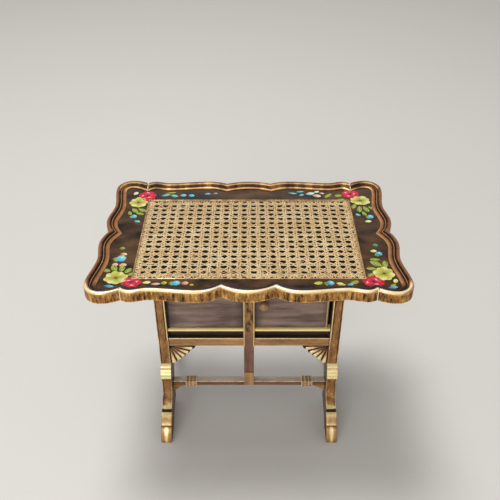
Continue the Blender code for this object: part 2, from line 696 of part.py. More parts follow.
def build_fans(parent, gilt):
    """Fluted fans that spring from the corner of rail and end board and end on a slant."""
    front = -RAIL_FRONT + FAN_SETBACK
    back = front + FAN_THICK
    corner_z = RAIL_BASE - CLEARANCE
    for name, sign in (("left", -1), ("right", 1)):
        corner_x = sign * BAY_EDGE
        bm = bmesh.new()
        corner_front = bm.verts.new((corner_x, front, corner_z))
        corner_back = bm.verts.new((corner_x, back, corner_z))
        front_rim = []
        back_rim = []
        count = FAN_PETALS * FAN_STEPS
        for i in range(count + 1):
            turn = math.pi / 2 * i / count
            crest = abs(math.sin(math.pi * i / FAN_STEPS))
            diagonal = 1.0 / (math.cos(turn) + math.sin(turn))
            reach = diagonal ** FAN_FLATNESS * (1.0 - FAN_SCALLOP * (1.0 - crest))
            x = corner_x - sign * FAN_WIDTH * reach * math.cos(turn)
            z = corner_z - FAN_HEIGHT * reach * math.sin(turn)
            front_rim.append(bm.verts.new((x, front + FAN_FLUTE * (1.0 - crest), z)))
            back_rim.append(bm.verts.new((x, back, z)))
        for i in range(count):
            bm.faces.new((corner_front, front_rim[i], front_rim[i + 1]))
            bm.faces.new((corner_back, back_rim[i + 1], back_rim[i]))
            bm.faces.new((front_rim[i], back_rim[i], back_rim[i + 1], front_rim[i + 1]))
        bm.faces.new((corner_front, corner_back, back_rim[0], front_rim[0]))
        bm.faces.new((corner_back, corner_front, front_rim[-1], back_rim[-1]))
        add_object("fan_" + name, bm, gilt, parent)


def build_stretcher(parent, wood, gilt):
    back = -STRETCHER_FRONT + STRETCHER_THICK
    add_object("stretcher", box_mesh((-BAY_EDGE, -STRETCHER_FRONT, STRETCHER_BASE),
                                     (BAY_EDGE, back, STRETCHER_TOP), EDGE), wood, parent)
    top = STRETCHER_BASE - CLEARANCE
    middle = STRETCHER_BASE + STRETCHER_HEIGHT / 2
    for name, sign in (("left", -1), ("right", 1)):
        outline = [(BAY_EDGE, top)]
        for i in range(BRACKET_STEPS + 1):
            share = i / BRACKET_STEPS
            drop = share * (1.0 - BRACKET_HOLLOW * (1.0 - share))
            outline.append((BAY_EDGE - BRACKET_WIDTH * (1.0 - share), top - EDGE - (BRACKET_HEIGHT - EDGE) * drop))
        outline.insert(1, (BAY_EDGE - BRACKET_WIDTH, top))
        points = [Vector((sign * x, -STRETCHER_FRONT + BRACKET_SETBACK, z)) for x, z in outline]
        depth = (0, STRETCHER_THICK - 2 * BRACKET_SETBACK, 0)
        add_object("stretcher_bracket_" + name, prism_mesh(points, depth), gilt, parent)
        plate_back = -STRETCHER_FRONT - CLEARANCE
        x = sign * BAND_PLATE_AT
        low = (x - BAND_PLATE_LENGTH / 2, plate_back - BAND_PLATE_THICK, middle - BAND_PLATE_HEIGHT / 2)
        high = (x + BAND_PLATE_LENGTH / 2, plate_back, middle + BAND_PLATE_HEIGHT / 2)
        add_object("stretcher_band_" + name, box_mesh(low, high, EDGE / 2), gilt, parent)


def build_table():
    clear_scene()
    gilt = make_material("gilt_wood", (0.45, 0.25, 0.09), 0.35, 0.4)
    wood = make_material("brown_wood", (0.26, 0.13, 0.06), 0.45, 0.0)
    dark = make_material("dark_lacquer", (0.03, 0.02, 0.015), 0.25, 0.0)
    panel_wood = make_material("panel_wood", (0.17, 0.10, 0.075), 0.5, 0.0)
    post_wood = make_material("post_wood", (0.16, 0.08, 0.06), 0.5, 0.0)
    pale_wood = make_material("pale_wood", (0.42, 0.28, 0.15), 0.5, 0.0)
    cane = make_material("cane", (0.58, 0.38, 0.15), 0.5, 0.0)
    brass = make_material("brass", (0.60, 0.42, 0.14), 0.3, 1.0)

    stand = make_empty("stand_frame", (0, 0, 0))
    tray = make_empty("tray_lift_axis", (0, 0, FLOOR_BASE))
    door = make_empty("door_pivot_axis", (PIVOT_X, PIVOT_Y, SILL_TOP))

    for name, sign in (("left", -1), ("right", 1)):
        build_end(name, sign, stand, wood, gilt)
    build_carcase(stand, wood, gilt, dark, panel_wood)
    build_post(stand, post_wood, gilt, pale_wood)
    build_fixed_panel(stand, panel_wood, gilt)
    build_fans(stand, gilt)
    build_stretcher(stand, wood, gilt)
    build_door_hardware(stand, wood, brass)
    build_door(door, panel_wood, gilt)

    stations = tray_stations()
    build_rim(stations, tray, gilt)
    build_floor(stations, tray, dark)
    build_cane(tray, cane)
    build_cane_bead(tray, gilt)
    build_battens(tray, wood)

    # Everything is built round the stand's middle, so it moves forward to put the tray over the origin.
    for empty in (stand, tray, door):
        empty.location.y -= TRAY_SETBACK


build_table()
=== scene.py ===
import math
import random

import bmesh
import bpy
from mathutils import Matrix, Vector
from mathutils.geometry import interpolate_bezier


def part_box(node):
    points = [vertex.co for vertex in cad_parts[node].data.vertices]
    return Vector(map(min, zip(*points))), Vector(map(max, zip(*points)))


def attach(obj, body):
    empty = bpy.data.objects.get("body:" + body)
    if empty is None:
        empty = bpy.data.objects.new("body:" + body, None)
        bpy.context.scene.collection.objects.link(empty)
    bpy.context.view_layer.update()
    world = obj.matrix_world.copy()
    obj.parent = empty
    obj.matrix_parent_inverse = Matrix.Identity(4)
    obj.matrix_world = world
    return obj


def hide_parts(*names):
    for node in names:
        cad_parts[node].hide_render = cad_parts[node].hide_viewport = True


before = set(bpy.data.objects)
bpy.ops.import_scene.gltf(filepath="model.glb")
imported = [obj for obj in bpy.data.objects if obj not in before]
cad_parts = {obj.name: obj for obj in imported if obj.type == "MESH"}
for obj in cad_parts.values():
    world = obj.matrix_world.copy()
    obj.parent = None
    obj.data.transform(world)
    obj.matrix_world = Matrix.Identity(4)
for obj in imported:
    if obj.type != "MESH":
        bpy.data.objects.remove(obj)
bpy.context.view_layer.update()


# Camera: stands in front of the table, above the tray, and looks down on it through a lens that
# gives the photograph's square frame.
CAMERA_PLACE = (0.0022, -1.140, 1.263)
CAMERA_PITCH = math.radians(36.5)
CAMERA_LENS_MM = 48.53
SENSOR_WIDTH_MM = 36.0


def add_object(name, data):
    """Put a mesh, lamp or camera into the scene."""
    new_object = bpy.data.objects.new(name, data)
    bpy.context.scene.collection.objects.link(new_object)
    return new_object


camera_data = bpy.data.cameras.new("camera")
camera_data.sensor_width = SENSOR_WIDTH_MM
camera_data.lens = CAMERA_LENS_MM
camera = add_object("camera", camera_data)
camera.location = CAMERA_PLACE
camera.rotation_euler = (math.pi / 2 - CAMERA_PITCH, 0.0, 0.0)
bpy.context.scene.camera = camera


# End boards of the trestle: solid brown stained boards, sawn to an S-shaped leg in front and a raked
# leg behind, with the grain upright and a worn satin polish.
GRAIN_ACROSS = 220.0
GRAIN_ALONG = 34.0
GRAIN_RELIEF = 0.0003
POLISH_ROUGHNESS = 0.3
X_AXIS = 0
Y_AXIS = 1
Z_AXIS = 2


def paint(red, green, blue):
    """A colour as it is seen, in steps of 0 to 255, turned into the linear values a shader reads."""
    shares = [step / 255.0 for step in (red, green, blue)]
    linear = [share / 12.92 if share <= 0.04045 else ((share + 0.055) / 1.055) ** 2.4 for share in shares]
    return (*linear, 1.0)


def feed(node, inputs):
    """Set the named inputs of a shader node, or link those that are given a socket."""
    for name, value in inputs.items():
        if isinstance(value, bpy.types.NodeSocket):
            node.id_data.links.new(value, node.inputs[name])
        else:
            node.inputs[name].default_value = value


def add_node(tree, kind, inputs=None, **settings):
    """Add a shader node with its settings and inputs."""
    node = tree.nodes.new(kind)
    for name, value in settings.items():
        setattr(node, name, value)
    feed(node, inputs or {})
    return node


def tree_of(*values):
    """The node tree of the first socket among some values."""
    return next(value.id_data for value in values if isinstance(value, bpy.types.NodeSocket))


def calculate(operation, *values):
    """Do one sum on sockets and numbers."""
    sockets = dict(enumerate(values))
    return add_node(tree_of(*values), "ShaderNodeMath", sockets, operation=operation).outputs[0]


def spread(value, low, high, to_low=0.0, to_high=1.0):
    """Spread a value between two limits over a new range, and hold it there."""
    sockets = {"Value": value, "From Min": low, "From Max": high, "To Min": to_low, "To Max": to_high}
    return add_node(value.id_data, "ShaderNodeMapRange", sockets).outputs["Result"]


def mix_colours(share, first, second, blend_type="MIX"):
    """Go from the first colour to the second by a share."""
    node = add_node(tree_of(share, first, second), "ShaderNodeMix", {0: share, 6: first, 7: second},
                    data_type="RGBA", blend_type=blend_type)
    return node.outputs[2]


def noise(place, scale=1.0, detail=4.0, roughness=0.55):
    """Cloudy values round 0.5, finer with a larger scale."""
    sockets = {"Vector": place, "Scale": scale, "Detail": detail, "Roughness": roughness}
    return add_node(place.id_data, "ShaderNodeTexNoise", sockets).outputs["Fac"]


def object_place(tree, scale=(1.0, 1.0, 1.0)):
    """Place on the object in metres, drawn out along the axes that get a small scale."""
    source = add_node(tree, "ShaderNodeTexCoord").outputs["Object"]
    return add_node(tree, "ShaderNodeMapping", {"Vector": source, "Scale": scale}).outputs["Vector"]


def new_group(name, inputs, outputs):
    """Start a shader node group, with a name and a kind for each socket."""
    tree = bpy.data.node_groups.new(name, "ShaderNodeTree")
    for in_out, sockets in (("INPUT", inputs), ("OUTPUT", outputs)):
        for socket, kind in sockets.items():
            tree.interface.new_socket(socket, in_out=in_out, socket_type="NodeSocket" + kind)
    return tree, tree.nodes.new("NodeGroupInput").outputs, tree.nodes.new("NodeGroupOutput")


def place_group(tree, group, inputs):
    """Use a node group in a material, and return its outputs."""
    return add_node(tree, "ShaderNodeGroup", inputs, node_tree=group).outputs


def new_material(name):
    """Start a material, and return it with its node tree and its shader."""
    material = bpy.data.materials.new(name)
    material.use_nodes = True
    return material, material.node_tree, material.node_tree.nodes["Principled BSDF"]


def raise_surface(shader, height, relief):
    """Feed a height to the shader's normal, as relief of that depth in metres."""
    bump = add_node(shader.id_data, "ShaderNodeBump", {"Height": height, "Distance": relief})
    feed(shader, {"Normal": bump.outputs["Normal"]})


def finish_nodes(material, *names):
    """Give a material to solids of the frame."""
    for name in names:
        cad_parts[name].material_slots[0].material = material


wood_grain, grain_in, grain_out = new_group(
    "wood_grain", {"Place": "Vector", "Dark": "Color", "Light": "Color"},
    {"Color": "Color", "Roughness": "Float", "Height": "Float"})
broad_figure = spread(noise(grain_in["Place"], 0.35, 5.0), 0.32, 0.68)
fine_fibre = noise(grain_in["Place"], 2.2, 6.0, 0.65)
pore = spread(noise(grain_in["Place"], 5.0, 2.0), 0.30, 0.42, 0.55, 1.0)
figure = calculate("MULTIPLY_ADD", broad_figure, 0.6, -0.12)
figure = calculate("MULTIPLY_ADD", fine_fibre, 0.62, figure)
stained = mix_colours(figure, grain_in["Dark"], grain_in["Light"])
pore_colour = add_node(wood_grain, "ShaderNodeCombineColor", {0: pore, 1: pore, 2: pore}).outputs[0]
feed(grain_out, {"Color": mix_colours(1.0, stained, pore_colour, "MULTIPLY"),
                 "Roughness": spread(fine_fibre, 0.2, 0.8, 0.58, 0.34),
                 "Height": calculate("MULTIPLY", figure, pore)})


def lay_grain(tree, scale, dark, light):
    """Wood grain on the object, along the axis that gets a small scale."""
    return place_group(tree, wood_grain, {"Place": object_place(tree, scale), "Dark": dark, "Light": light})


def wood_material(name, dark, light, grain_axis, coat=0.15):
    """Stained wood with its grain along one axis of the object."""
    material, tree, shader = new_material(name)
    scale = [GRAIN_ACROSS] * 3
    scale[grain_axis] = GRAIN_ALONG
    grain = lay_grain(tree, scale, dark, light)
    feed(shader, {"Base Color": grain["Color"], "Roughness": grain["Roughness"], "Coat Weight": coat,
                  "Coat Roughness": POLISH_ROUGHNESS})
    raise_surface(shader, grain["Height"], GRAIN_RELIEF)
    return material


board_wood = wood_material("end_board_wood", paint(46, 30, 20), paint(112, 78, 50), Z_AXIS)
finish_nodes(board_wood, "end_left", "end_right")


# Leg facings: gilt mouldings planted on the front edges of the end boards. Each has a brown face between
# narrow grooves, with a bright bead inside it down to the rail, and a plain facing on neck and foot. The
# upper run is painted a little darker as shade. Down the neck and sweep the gilding runs from painted shade
# to a painted highlight on the sweep, with painted shade in the groove at its end.
HALF_LEG = 0.011
LEG_TOP = (0.0805, 0.4449)
LEG_MIDDLE = (0.0745, 0.230)
LEG_WAIST = (0.073, 0.1575)
NECK_TOP = (0.088, 0.1238)
NECK_MIDDLE = (0.087, 0.081)
SWEEP_MIDDLE = (0.103, 0.0665)
SWEEP_END = (0.1235, 0.0565)
FACE_RISE = 0.0012
BEAD_RISE = 0.0022
OUTER_EDGE = (
    (-HALF_LEG, -0.0004, 0.25), (-HALF_LEG, FACE_RISE * 0.7, 0.55), (-HALF_LEG + 0.0014, FACE_RISE, 0.52),
    (-HALF_LEG + 0.0018, 0.0002, 0.0), (-HALF_LEG + 0.0032, 0.0002, 0.0),
    (-HALF_LEG + 0.0038, FACE_RISE, 0.36), (-0.001, FACE_RISE * 1.1, 0.38))
INNER_BEAD = (
    (0.0055, FACE_RISE, 0.34), (0.0061, 0.0001, 0.0), (0.0073, 0.0001, 0.0), (0.0078, 0.0008, 0.6),
    (0.0085, BEAD_RISE * 0.85, 0.85), (0.0093, BEAD_RISE, 0.95), (0.0101, BEAD_RISE * 0.85, 0.85),
    (0.0108, 0.0008, 0.5), (HALF_LEG, -0.0004, 0.2))
INNER_EDGE = (
    (0.0085, FACE_RISE, 0.36), (0.0102, FACE_RISE * 0.9, 0.62), (HALF_LEG, 0.0004, 0.55),
    (HALF_LEG, -0.0004, 0.2))
# Painted light added to the crest: painted shade on the upper run, and on neck and sweep a painted gradient
# up to a highlight, then painted shade in the groove.
UPPER_PAINTED_SHADE = -0.05
NECK_PAINTED_LIGHT = (
    -0.12, -0.12, -0.10, -0.08, -0.06, -0.05, -0.04, -0.03, -0.02, -0.01, 0.0, 0.01, 0.02, 0.03, 0.04,
    0.06, 0.08, 0.12, 0.16, 0.24, 0.40, 1.0, 1.0, -0.7, -0.8)
NECK_STEPS = 8
LEG_STEPS = 24

aged_gilding, gild_in, gild_out = new_group(
    "aged_gilding",
    {"Place": "Vector", "Crest": "Float", "Wear": "Float", "Hollow": "Color", "Body": "Color",
     "Gold": "Color"},
    {"Color": "Color", "Metallic": "Float", "Roughness": "Float", "Height": "Float"})
patch = noise(gild_in["Place"], 45.0, 5.0, 0.6)
speck = noise(gild_in["Place"], 260.0, 4.0, 0.6)
blotch = calculate("ADD", spread(patch, 0.3, 0.7, -0.6, 0.6), spread(speck, 0.3, 0.7, -0.4, 0.4))
cover = calculate("MULTIPLY_ADD", blotch, gild_in["Wear"], gild_in["Crest"])
gold_share = spread(cover, 0.45, 0.85)
worn = mix_colours(spread(cover, 0.05, 0.40), gild_in["Hollow"], gild_in["Body"])
feed(gild_out, {"Color": mix_colours(gold_share, worn, gild_in["Gold"]),
                "Metallic": spread(gold_share, 0.0, 1.0, 0.04, 0.32),
                "Roughness": spread(cover, 0.1, 0.9, 0.52, 0.27),
                "Height": calculate("ADD", patch, speck)})


def gild(shader, crest, wear, hollow, body, gold, place_scale=(1.0, 1.0, 1.0), specular=0.3,
         relief=0.00015):
    """Cover a shader with old gilding, rubbed to the hollow colour at a crest of 0 and bright at 1."""
    gilding = place_group(shader.id_data, aged_gilding, {
        "Place": object_place(shader.id_data, place_scale), "Crest": crest, "Wear": wear, "Hollow": hollow,
        "Body": body, "Gold": gold})
    feed(shader, {"Base Color": gilding["Color"], "Metallic": gilding["Metallic"],
                  "Roughness": gilding["Roughness"], "Specular IOR Level": specular})
    raise_surface(shader, gilding["Height"], relief)


def point_value(tree, name, output="Fac"):
    """A value that the points of the mesh carry."""
    return add_node(tree, "ShaderNodeAttribute", attribute_name=name).outputs[output]


def gilt_material(name, crest=None, hollow=paint(58, 36, 22), body=paint(140, 98, 58),
                  gold=paint(236, 202, 138), wear=0.35, **settings):
    """Old gilding, with its crest read from the points of the mesh where none is given."""
    material, tree, shader = new_material(name)
    crest = point_value(tree, "crest") if crest is None else crest
    gild(shader, crest, wear, hollow, body, gold, **settings)
    return material


def smooth_run(knots, steps):
    """Points of a smooth curve through flat knots, which ends freely at its first and last."""
    points = [Vector((x, y, 0.0)) for x, y in knots]
    chords = [(b - a).normalized() for a, b in zip(points, points[1:])]
    tangents = [(b - a).normalized() for a, b in zip(points, points[2:])]
    first = 2.0 * chords[0].dot(tangents[0]) * chords[0] - tangents[0]
    last = 2.0 * chords[-1].dot(tangents[-1]) * chords[-1] - tangents[-1]
    tangents = [first] + tangents + [last]
    run = [points[0]]
    for i in range(len(chords)):
        handle = (points[i + 1] - points[i]).length / 3.0
        leave = points[i] + tangents[i] * handle
        arrive = points[i + 1] - tangents[i + 1] * handle
        run += interpolate_bezier(points[i], leave, arrive, points[i + 1], steps + 1)[1:]
    return run


def add_piece(name, bm, material, body, sharp_angle=50.0):
    """Turn a bmesh into a finished piece that rides on a body of the frame."""
    mesh = bpy.data.meshes.new(name)
    bm.to_mesh(mesh)
    bm.free()
    mesh.materials.append(material)
    mesh.shade_smooth()
    mesh.set_sharp_from_angle(angle=math.radians(sharp_angle))
    piece = add_object(name, mesh)
    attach(piece, body)
    return piece


def draw_moulding(bm, section, path, middle, painted_light):
    """Draw a section of (across, proud, crest) points down a path of (forward, height) points, with painted
    light and shade that is added to the crest at each point of the path."""
    crest = bm.verts.layers.float.get("crest") or bm.verts.layers.float.new("crest")
    stations = [Vector((middle, -point.x, point.y)) for point in path]
    verts = []
    for across, proud, shine in section:
        vert = bm.verts.new(stations[0] + Vector((across, -proud, 0.0)))
        vert[crest] = shine + painted_light[0]
        verts.append(vert)
    edges = [bm.edges.new(pair) for pair in zip(verts, verts[1:])]
    for i in range(len(path) - 1):
        grown = bmesh.ops.extrude_edge_only(bm, edges=edges)["geom"]
        verts = [item for item in grown if isinstance(item, bmesh.types.BMVert)]
        edges = [item for item in grown if isinstance(item, bmesh.types.BMEdge)
                 and item.verts[0] in verts and item.verts[1] in verts]
        bmesh.ops.translate(bm, verts=verts, vec=stations[i + 1] - stations[i])
        for vert in verts:
            vert[crest] += painted_light[i + 1] - painted_light[i]


rail_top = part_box("rail_left")[1].z
leg_path = smooth_run([LEG_TOP, LEG_MIDDLE, LEG_WAIST], LEG_STEPS)
at_rail = next(i for i, point in enumerate(leg_path) if point.y < rail_top)
neck_path = smooth_run([NECK_TOP, NECK_MIDDLE, SWEEP_MIDDLE, SWEEP_END], NECK_STEPS)
leg_gilt = gilt_material("leg_gilding", body=paint(158, 110, 62), gold=paint(255, 230, 168), wear=0.36,
                         place_scale=(1.0, 1.0, 0.3))
for side, inwards in (("left", 1), ("right", -1)):
    low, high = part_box("end_" + side)
    middle = (low.x + high.x) / 2
    leg_facing = bmesh.new()
    beaded = [(inwards * across, proud, shine) for across, proud, shine in OUTER_EDGE + INNER_BEAD]
    plain = [(inwards * across, proud, shine) for across, proud, shine in OUTER_EDGE + INNER_EDGE]
    draw_moulding(leg_facing, beaded, leg_path[:at_rail + 1], middle, [UPPER_PAINTED_SHADE] * (at_rail + 1))
    draw_moulding(leg_facing, plain, leg_path[at_rail:], middle, [0.0] * len(leg_path))
    draw_moulding(leg_facing, plain, neck_path, middle, NECK_PAINTED_LIGHT)
    bmesh.ops.recalc_face_normals(leg_facing, faces=leg_facing.faces[:])
    add_piece("leg_facing_" + side, leg_facing, leg_gilt, "stand")


# Knees: blocks of carved wood glued to the front edge of each leg, cut into ridges across the leg
# and gilded brightly.
KNEE_RIDGES = 4
KNEE_RIDGE_STEPS = 6
KNEE_RIDGE_DEPTH = 0.0008
KNEE_BULGE = 0.006
KNEE_STEP = 0.0005
KNEE_HOLLOW_SHINE = 0.62
KNEE_RIDGE_SHINE = 0.36


def extrude_cap(bm, cap):
    """Extrude a face, and return the new one at the far end."""
    grown = bmesh.ops.extrude_face_region(bm, geom=[cap])["geom"]
    return next(item for item in grown if isinstance(item, bmesh.types.BMFace))


def profile_block(profile, low_x, high_x):
    """A block along X with a profile of (y, z, crest) points."""
    bm = bmesh.new()
    crest = bm.verts.layers.float.new("crest")
    verts = []
    for y, z, shine in profile:
        vert = bm.verts.new((low_x, y, z))
        vert[crest] = shine
        verts.append(vert)
    far_face = extrude_cap(bm, bm.faces.new(verts))
    bmesh.ops.translate(bm, verts=far_face.verts[:], vec=(high_x - low_x, 0.0, 0.0))
    return bm


pale_gilt = gilt_material("knee_gilding", hollow=paint(120, 80, 40), body=paint(204, 158, 88),
                          gold=paint(255, 236, 174), wear=0.16)
for side in ("left", "right"):
    low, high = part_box("knee_" + side)
    steps = KNEE_RIDGES * KNEE_RIDGE_STEPS
    profile = []
    for i in range(steps + 1):
        share = i / steps
        ridge = abs(math.sin(math.pi * KNEE_RIDGES * share))
        lean = (LEG_WAIST[0] + KNEE_STEP) * (1.0 - share) - (low.y + KNEE_RIDGE_DEPTH) * share
        forward = lean + KNEE_BULGE * math.sin(math.pi * share) + KNEE_RIDGE_DEPTH * (ridge - 1.0)
        height = high.z + (low.z - high.z) * share
        profile.append((-forward, height, KNEE_HOLLOW_SHINE + KNEE_RIDGE_SHINE * ridge))
    profile += [(high.y, low.z, 0.0), (high.y, high.z, 0.0)]
    knee = profile_block(profile, low.x, high.x)
    bmesh.ops.recalc_face_normals(knee, faces=knee.faces[:])
    piece = add_piece("ridged_knee_" + side, knee, pale_gilt, "stand", sharp_angle=75.0)
    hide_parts("knee_" + side)


# Feet: gilt toe blocks dowelled to the front of each leg behind a groove painted dark as shade, rounded at
# their corners, with a step below the top. The crest of the profile paints highlights on the top, on the
# lip of the step and down the middle of the toe, with painted shade under the step.
FOOT_PROFILE = (
    (0.0, 0.0, 0.1), (0.0, 0.0530, 0.0), (0.0015, 0.0542, 0.1), (0.004, 0.0545, 0.95),
    (0.0085, 0.0538, 1.0), (0.0118, 0.0515, 0.66), (0.0150, 0.0478, 0.54), (0.0190, 0.0436, 0.52),
    (0.0222, 0.0402, 0.58), (0.0252, 0.0366, 0.72), (0.0262, 0.0350, 0.3), (0.0266, 0.0342, 0.05),
    (0.0284, 0.0332, 0.4), (0.0315, 0.0300, 0.64), (0.0352, 0.0250, 0.58), (0.0392, 0.0190, 0.50),
    (0.0428, 0.0125, 0.44), (0.0455, 0.0065, 0.38), (0.0462, 0.0030, 0.3), (0.0450, 0.0, 0.1))
FOOT_STEP_HEIGHT = 0.0335
FOOT_EASE = 0.0030
TOE_HIGHLIGHT = 0.42
TOE_HIGHLIGHT_FALL = 2.0
TOE_HIGHLIGHT_LEAST = -0.08
NEAR = 0.001
SIDEWAYS = 0.9
foot_gilt = gilt_material("foot_gilding", hollow=paint(84, 52, 26), body=paint(176, 128, 68),
                          gold=paint(255, 232, 168), wear=0.14)
for side in ("left", "right"):
    low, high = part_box("foot_" + side)
    profile = [(high.y - forward, height, shine) for forward, height, shine in FOOT_PROFILE]
    foot = profile_block(profile, low.x, high.x)
    crest = foot.verts.layers.float["crest"]
    cross_edges = [e for e in foot.edges if abs(e.verts[0].co.x - e.verts[1].co.x) > NEAR]
    bmesh.ops.subdivide_edges(foot, edges=cross_edges, cuts=3, use_grid_fill=True)
    # Painted highlight down the middle of the toe, falling off towards its sides.
    for vert in foot.verts:
        off_middle = abs(vert.co.x - (low.x + high.x) / 2) / (high.x - low.x)
        if vert.co.z < FOOT_STEP_HEIGHT:
            vert[crest] += max(TOE_HIGHLIGHT_LEAST, TOE_HIGHLIGHT - TOE_HIGHLIGHT_FALL * off_middle)
    bmesh.ops.recalc_face_normals(foot, faces=foot.faces[:])
    side_edges = {e for f in foot.faces if abs(f.normal.x) > SIDEWAYS for e in f.edges
                  if max(v.co.z for v in e.verts) > NEAR and min(v.co.y for v in e.verts) < high.y - NEAR}
    bmesh.ops.bevel(foot, geom=list(side_edges), offset=FOOT_EASE, segments=3, profile=0.5, affect="EDGES",
                    material=-1, clamp_overlap=True)
    piece = add_piece("rounded_foot_" + side, foot, foot_gilt, "stand", sharp_angle=45.0)
    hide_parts("foot_" + side)


# Cupboard carcase: rails of stained wood with their grain along the table, boards behind them painted
# near-black as shade, and bright gilt sills. The top faces of the lower rails are painted dark as shade. A
# thin pale gilt bead along the front arris of each lower rail paints the highlight on that edge.
ARRIS_RADIUS = 0.0011
ARRIS_INSET = 0.6 * ARRIS_RADIUS
lengthwise_wood = wood_material("lengthwise_brown_wood", paint(92, 62, 36), paint(186, 140, 88), X_AXIS)
finish_nodes(lengthwise_wood, "rail_rear", "top_rail_left", "top_rail_right", "top_rail_rear",
             "batten_front", "batten_rear")


def facing_axes(tree):
    """The X, Y and Z of the way that the surface faces."""
    normal = add_node(tree, "ShaderNodeTexCoord").outputs["Normal"]
    return add_node(tree, "ShaderNodeSeparateXYZ", {0: normal}).outputs


def wood_with_painted_top(name, dark, light, top_dark, top_light):
    """Wood along X whose upper face takes other colours than its sides, to paint the light on top: painted
    shade on the rails and a painted highlight on the stretcher.
    """
    material, tree, shader = new_material(name)
    scale = (GRAIN_ALONG, GRAIN_ACROSS, GRAIN_ACROSS)
    sides = lay_grain(tree, scale, dark, light)
    top = lay_grain(tree, scale, top_dark, top_light)
    painted_top_share = spread(facing_axes(tree)["Z"], 0.5, 0.9)
    feed(shader, {"Base Color": mix_colours(painted_top_share, sides["Color"], top["Color"]),
                  "Roughness": sides["Roughness"]})
    raise_surface(shader, sides["Height"], GRAIN_RELIEF)
    return material


# The rails' top faces are painted near-black as shade.
rail_wood = wood_with_painted_top("rail_wood", paint(84, 54, 30), paint(206, 152, 92), paint(20, 12, 8),
                           paint(70, 44, 25))
finish_nodes(rail_wood, "rail_left", "rail_right")
upright_wood = wood_material("upright_brown_wood", paint(84, 54, 30), paint(184, 134, 80), Z_AXIS)
finish_nodes(upright_wood, "door_stop")
# Near-black wood paints the shade on the board under the tray, on the friezes and on the cupboard floor.
shadowed_wood = wood_material("shadowed_wood", paint(26, 16, 9), paint(64, 41, 25), X_AXIS, coat=0.1)
finish_nodes(shadowed_wood, "top_board", "frieze_left", "frieze_right", "cupboard_floor")
sill_gilt, sill_tree, sill_shader = new_material("bright_sill_gilding")
sill_patch = noise(object_place(sill_tree, (30.0, 300.0, 300.0)))
feed(sill_shader, {
    "Base Color": mix_colours(spread(sill_patch, 0.30, 0.50), paint(255, 202, 104), paint(255, 234, 160)),
    "Roughness": spread(sill_patch, 0.3, 0.7, 0.36, 0.22)})
finish_nodes(sill_gilt, "sill_left", "sill_right")


def round_bar(bm, start, end, radius, tip_radius=None, sides=10):
    """Add a straight bar, or a tapered one, between two points."""
    along = Vector(end) - Vector(start)
    turn = along.to_track_quat("Z", "Y").to_matrix().to_4x4()
    place = Matrix.Translation((Vector(start) + Vector(end)) / 2) @ turn
    tip = radius if tip_radius is None else tip_radius
    return bmesh.ops.create_cone(bm, cap_ends=True, segments=sides, radius1=radius, radius2=tip,
                                 depth=along.length, matrix=place)["verts"]


# Painted highlight: a thin pale gilt bead along the front arris of each lower rail.
arris = bmesh.new()
for side in ("left", "right"):
    low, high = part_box("rail_" + side)
    front_edge = (low.y + ARRIS_INSET, high.z - ARRIS_INSET)
    round_bar(arris, (low.x, *front_edge), (high.x, *front_edge), ARRIS_RADIUS)
arris_highlight_gilt = gilt_material("arris_highlight_gilding", crest=0.9, gold=paint(248, 226, 184), wear=0.2)
add_piece("rail_arris_highlights", arris, arris_highlight_gilt, "stand")


# Panels: weathered brown boards with streaks along their length. The left one is fixed between beads, the
# one behind closes the cupboard. Those in front are painted darker at their sides and top as shade.
PANEL_SHADE_WIDTH = 0.022
PANEL_SHADE_BASE = 0.085
PANEL_SHADE_FULL = 0.045
PANEL_SHADE_SHARE = 0.75
PANEL_RELIEF = 0.00025


def object_axes(tree):
    """The X, Y and Z of a place on the object."""
    return add_node(tree, "ShaderNodeSeparateXYZ", {0: object_place(tree)}).outputs


panel_wood, panel_tree, panel_shader = new_material("streaked_panel_wood")
panel_grain = lay_grain(panel_tree, (9.0, 200.0, 200.0), paint(54, 38, 32), paint(122, 96, 84))
panel_streak = spread(noise(object_place(panel_tree, (11.0, 90.0, 75.0))), 0.38, 0.68, 0.0, 0.85)
streaked = mix_colours(panel_streak, panel_grain["Color"], paint(152, 126, 114))
panel_low, panel_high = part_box("fixed_panel")
panel_middle = (panel_low.x + panel_high.x) / 2
half_panel = (panel_high.x - panel_low.x) / 2
panel_axes = object_axes(panel_tree)
# Painted shade: the panels in front are darkened towards their sides and top.
from_middle = calculate("ADD", calculate("ABSOLUTE", panel_axes["X"]), panel_middle)
from_middle = calculate("ABSOLUTE", from_middle)
near_side = spread(from_middle, half_panel - PANEL_SHADE_WIDTH, half_panel, 0.0, PANEL_SHADE_SHARE)
near_top = spread(panel_axes["Z"], panel_high.z - PANEL_SHADE_BASE, panel_high.z - PANEL_SHADE_FULL, 0.0, PANEL_SHADE_SHARE)
in_front = spread(panel_axes["Y"], 0.0, 0.01, 1.0, 0.0)
painted_panel_shade = calculate("MULTIPLY", in_front, calculate("MAXIMUM", near_side, near_top))
feed(panel_shader, {"Base Color": mix_colours(painted_panel_shade, streaked, paint(30, 20, 16)),
                    "Roughness": spread(panel_streak, 0.0, 0.75, 0.36, 0.52)})
raise_surface(panel_shader, panel_grain["Height"], PANEL_RELIEF)
finish_nodes(panel_wood, "fixed_panel", "back_panel", "door_panel")
bead_gilt = gilt_material("bead_gilding", crest=0.80, wear=0.3, place_scale=(1.0, 1.0, 0.3))
finish_nodes(bead_gilt, "door_bead", "post_bead_left", "post_bead_right")
# The bead beside the fixed panel is painted near-black as shade.
finish_nodes(shadowed_wood, "fixed_panel_bead")


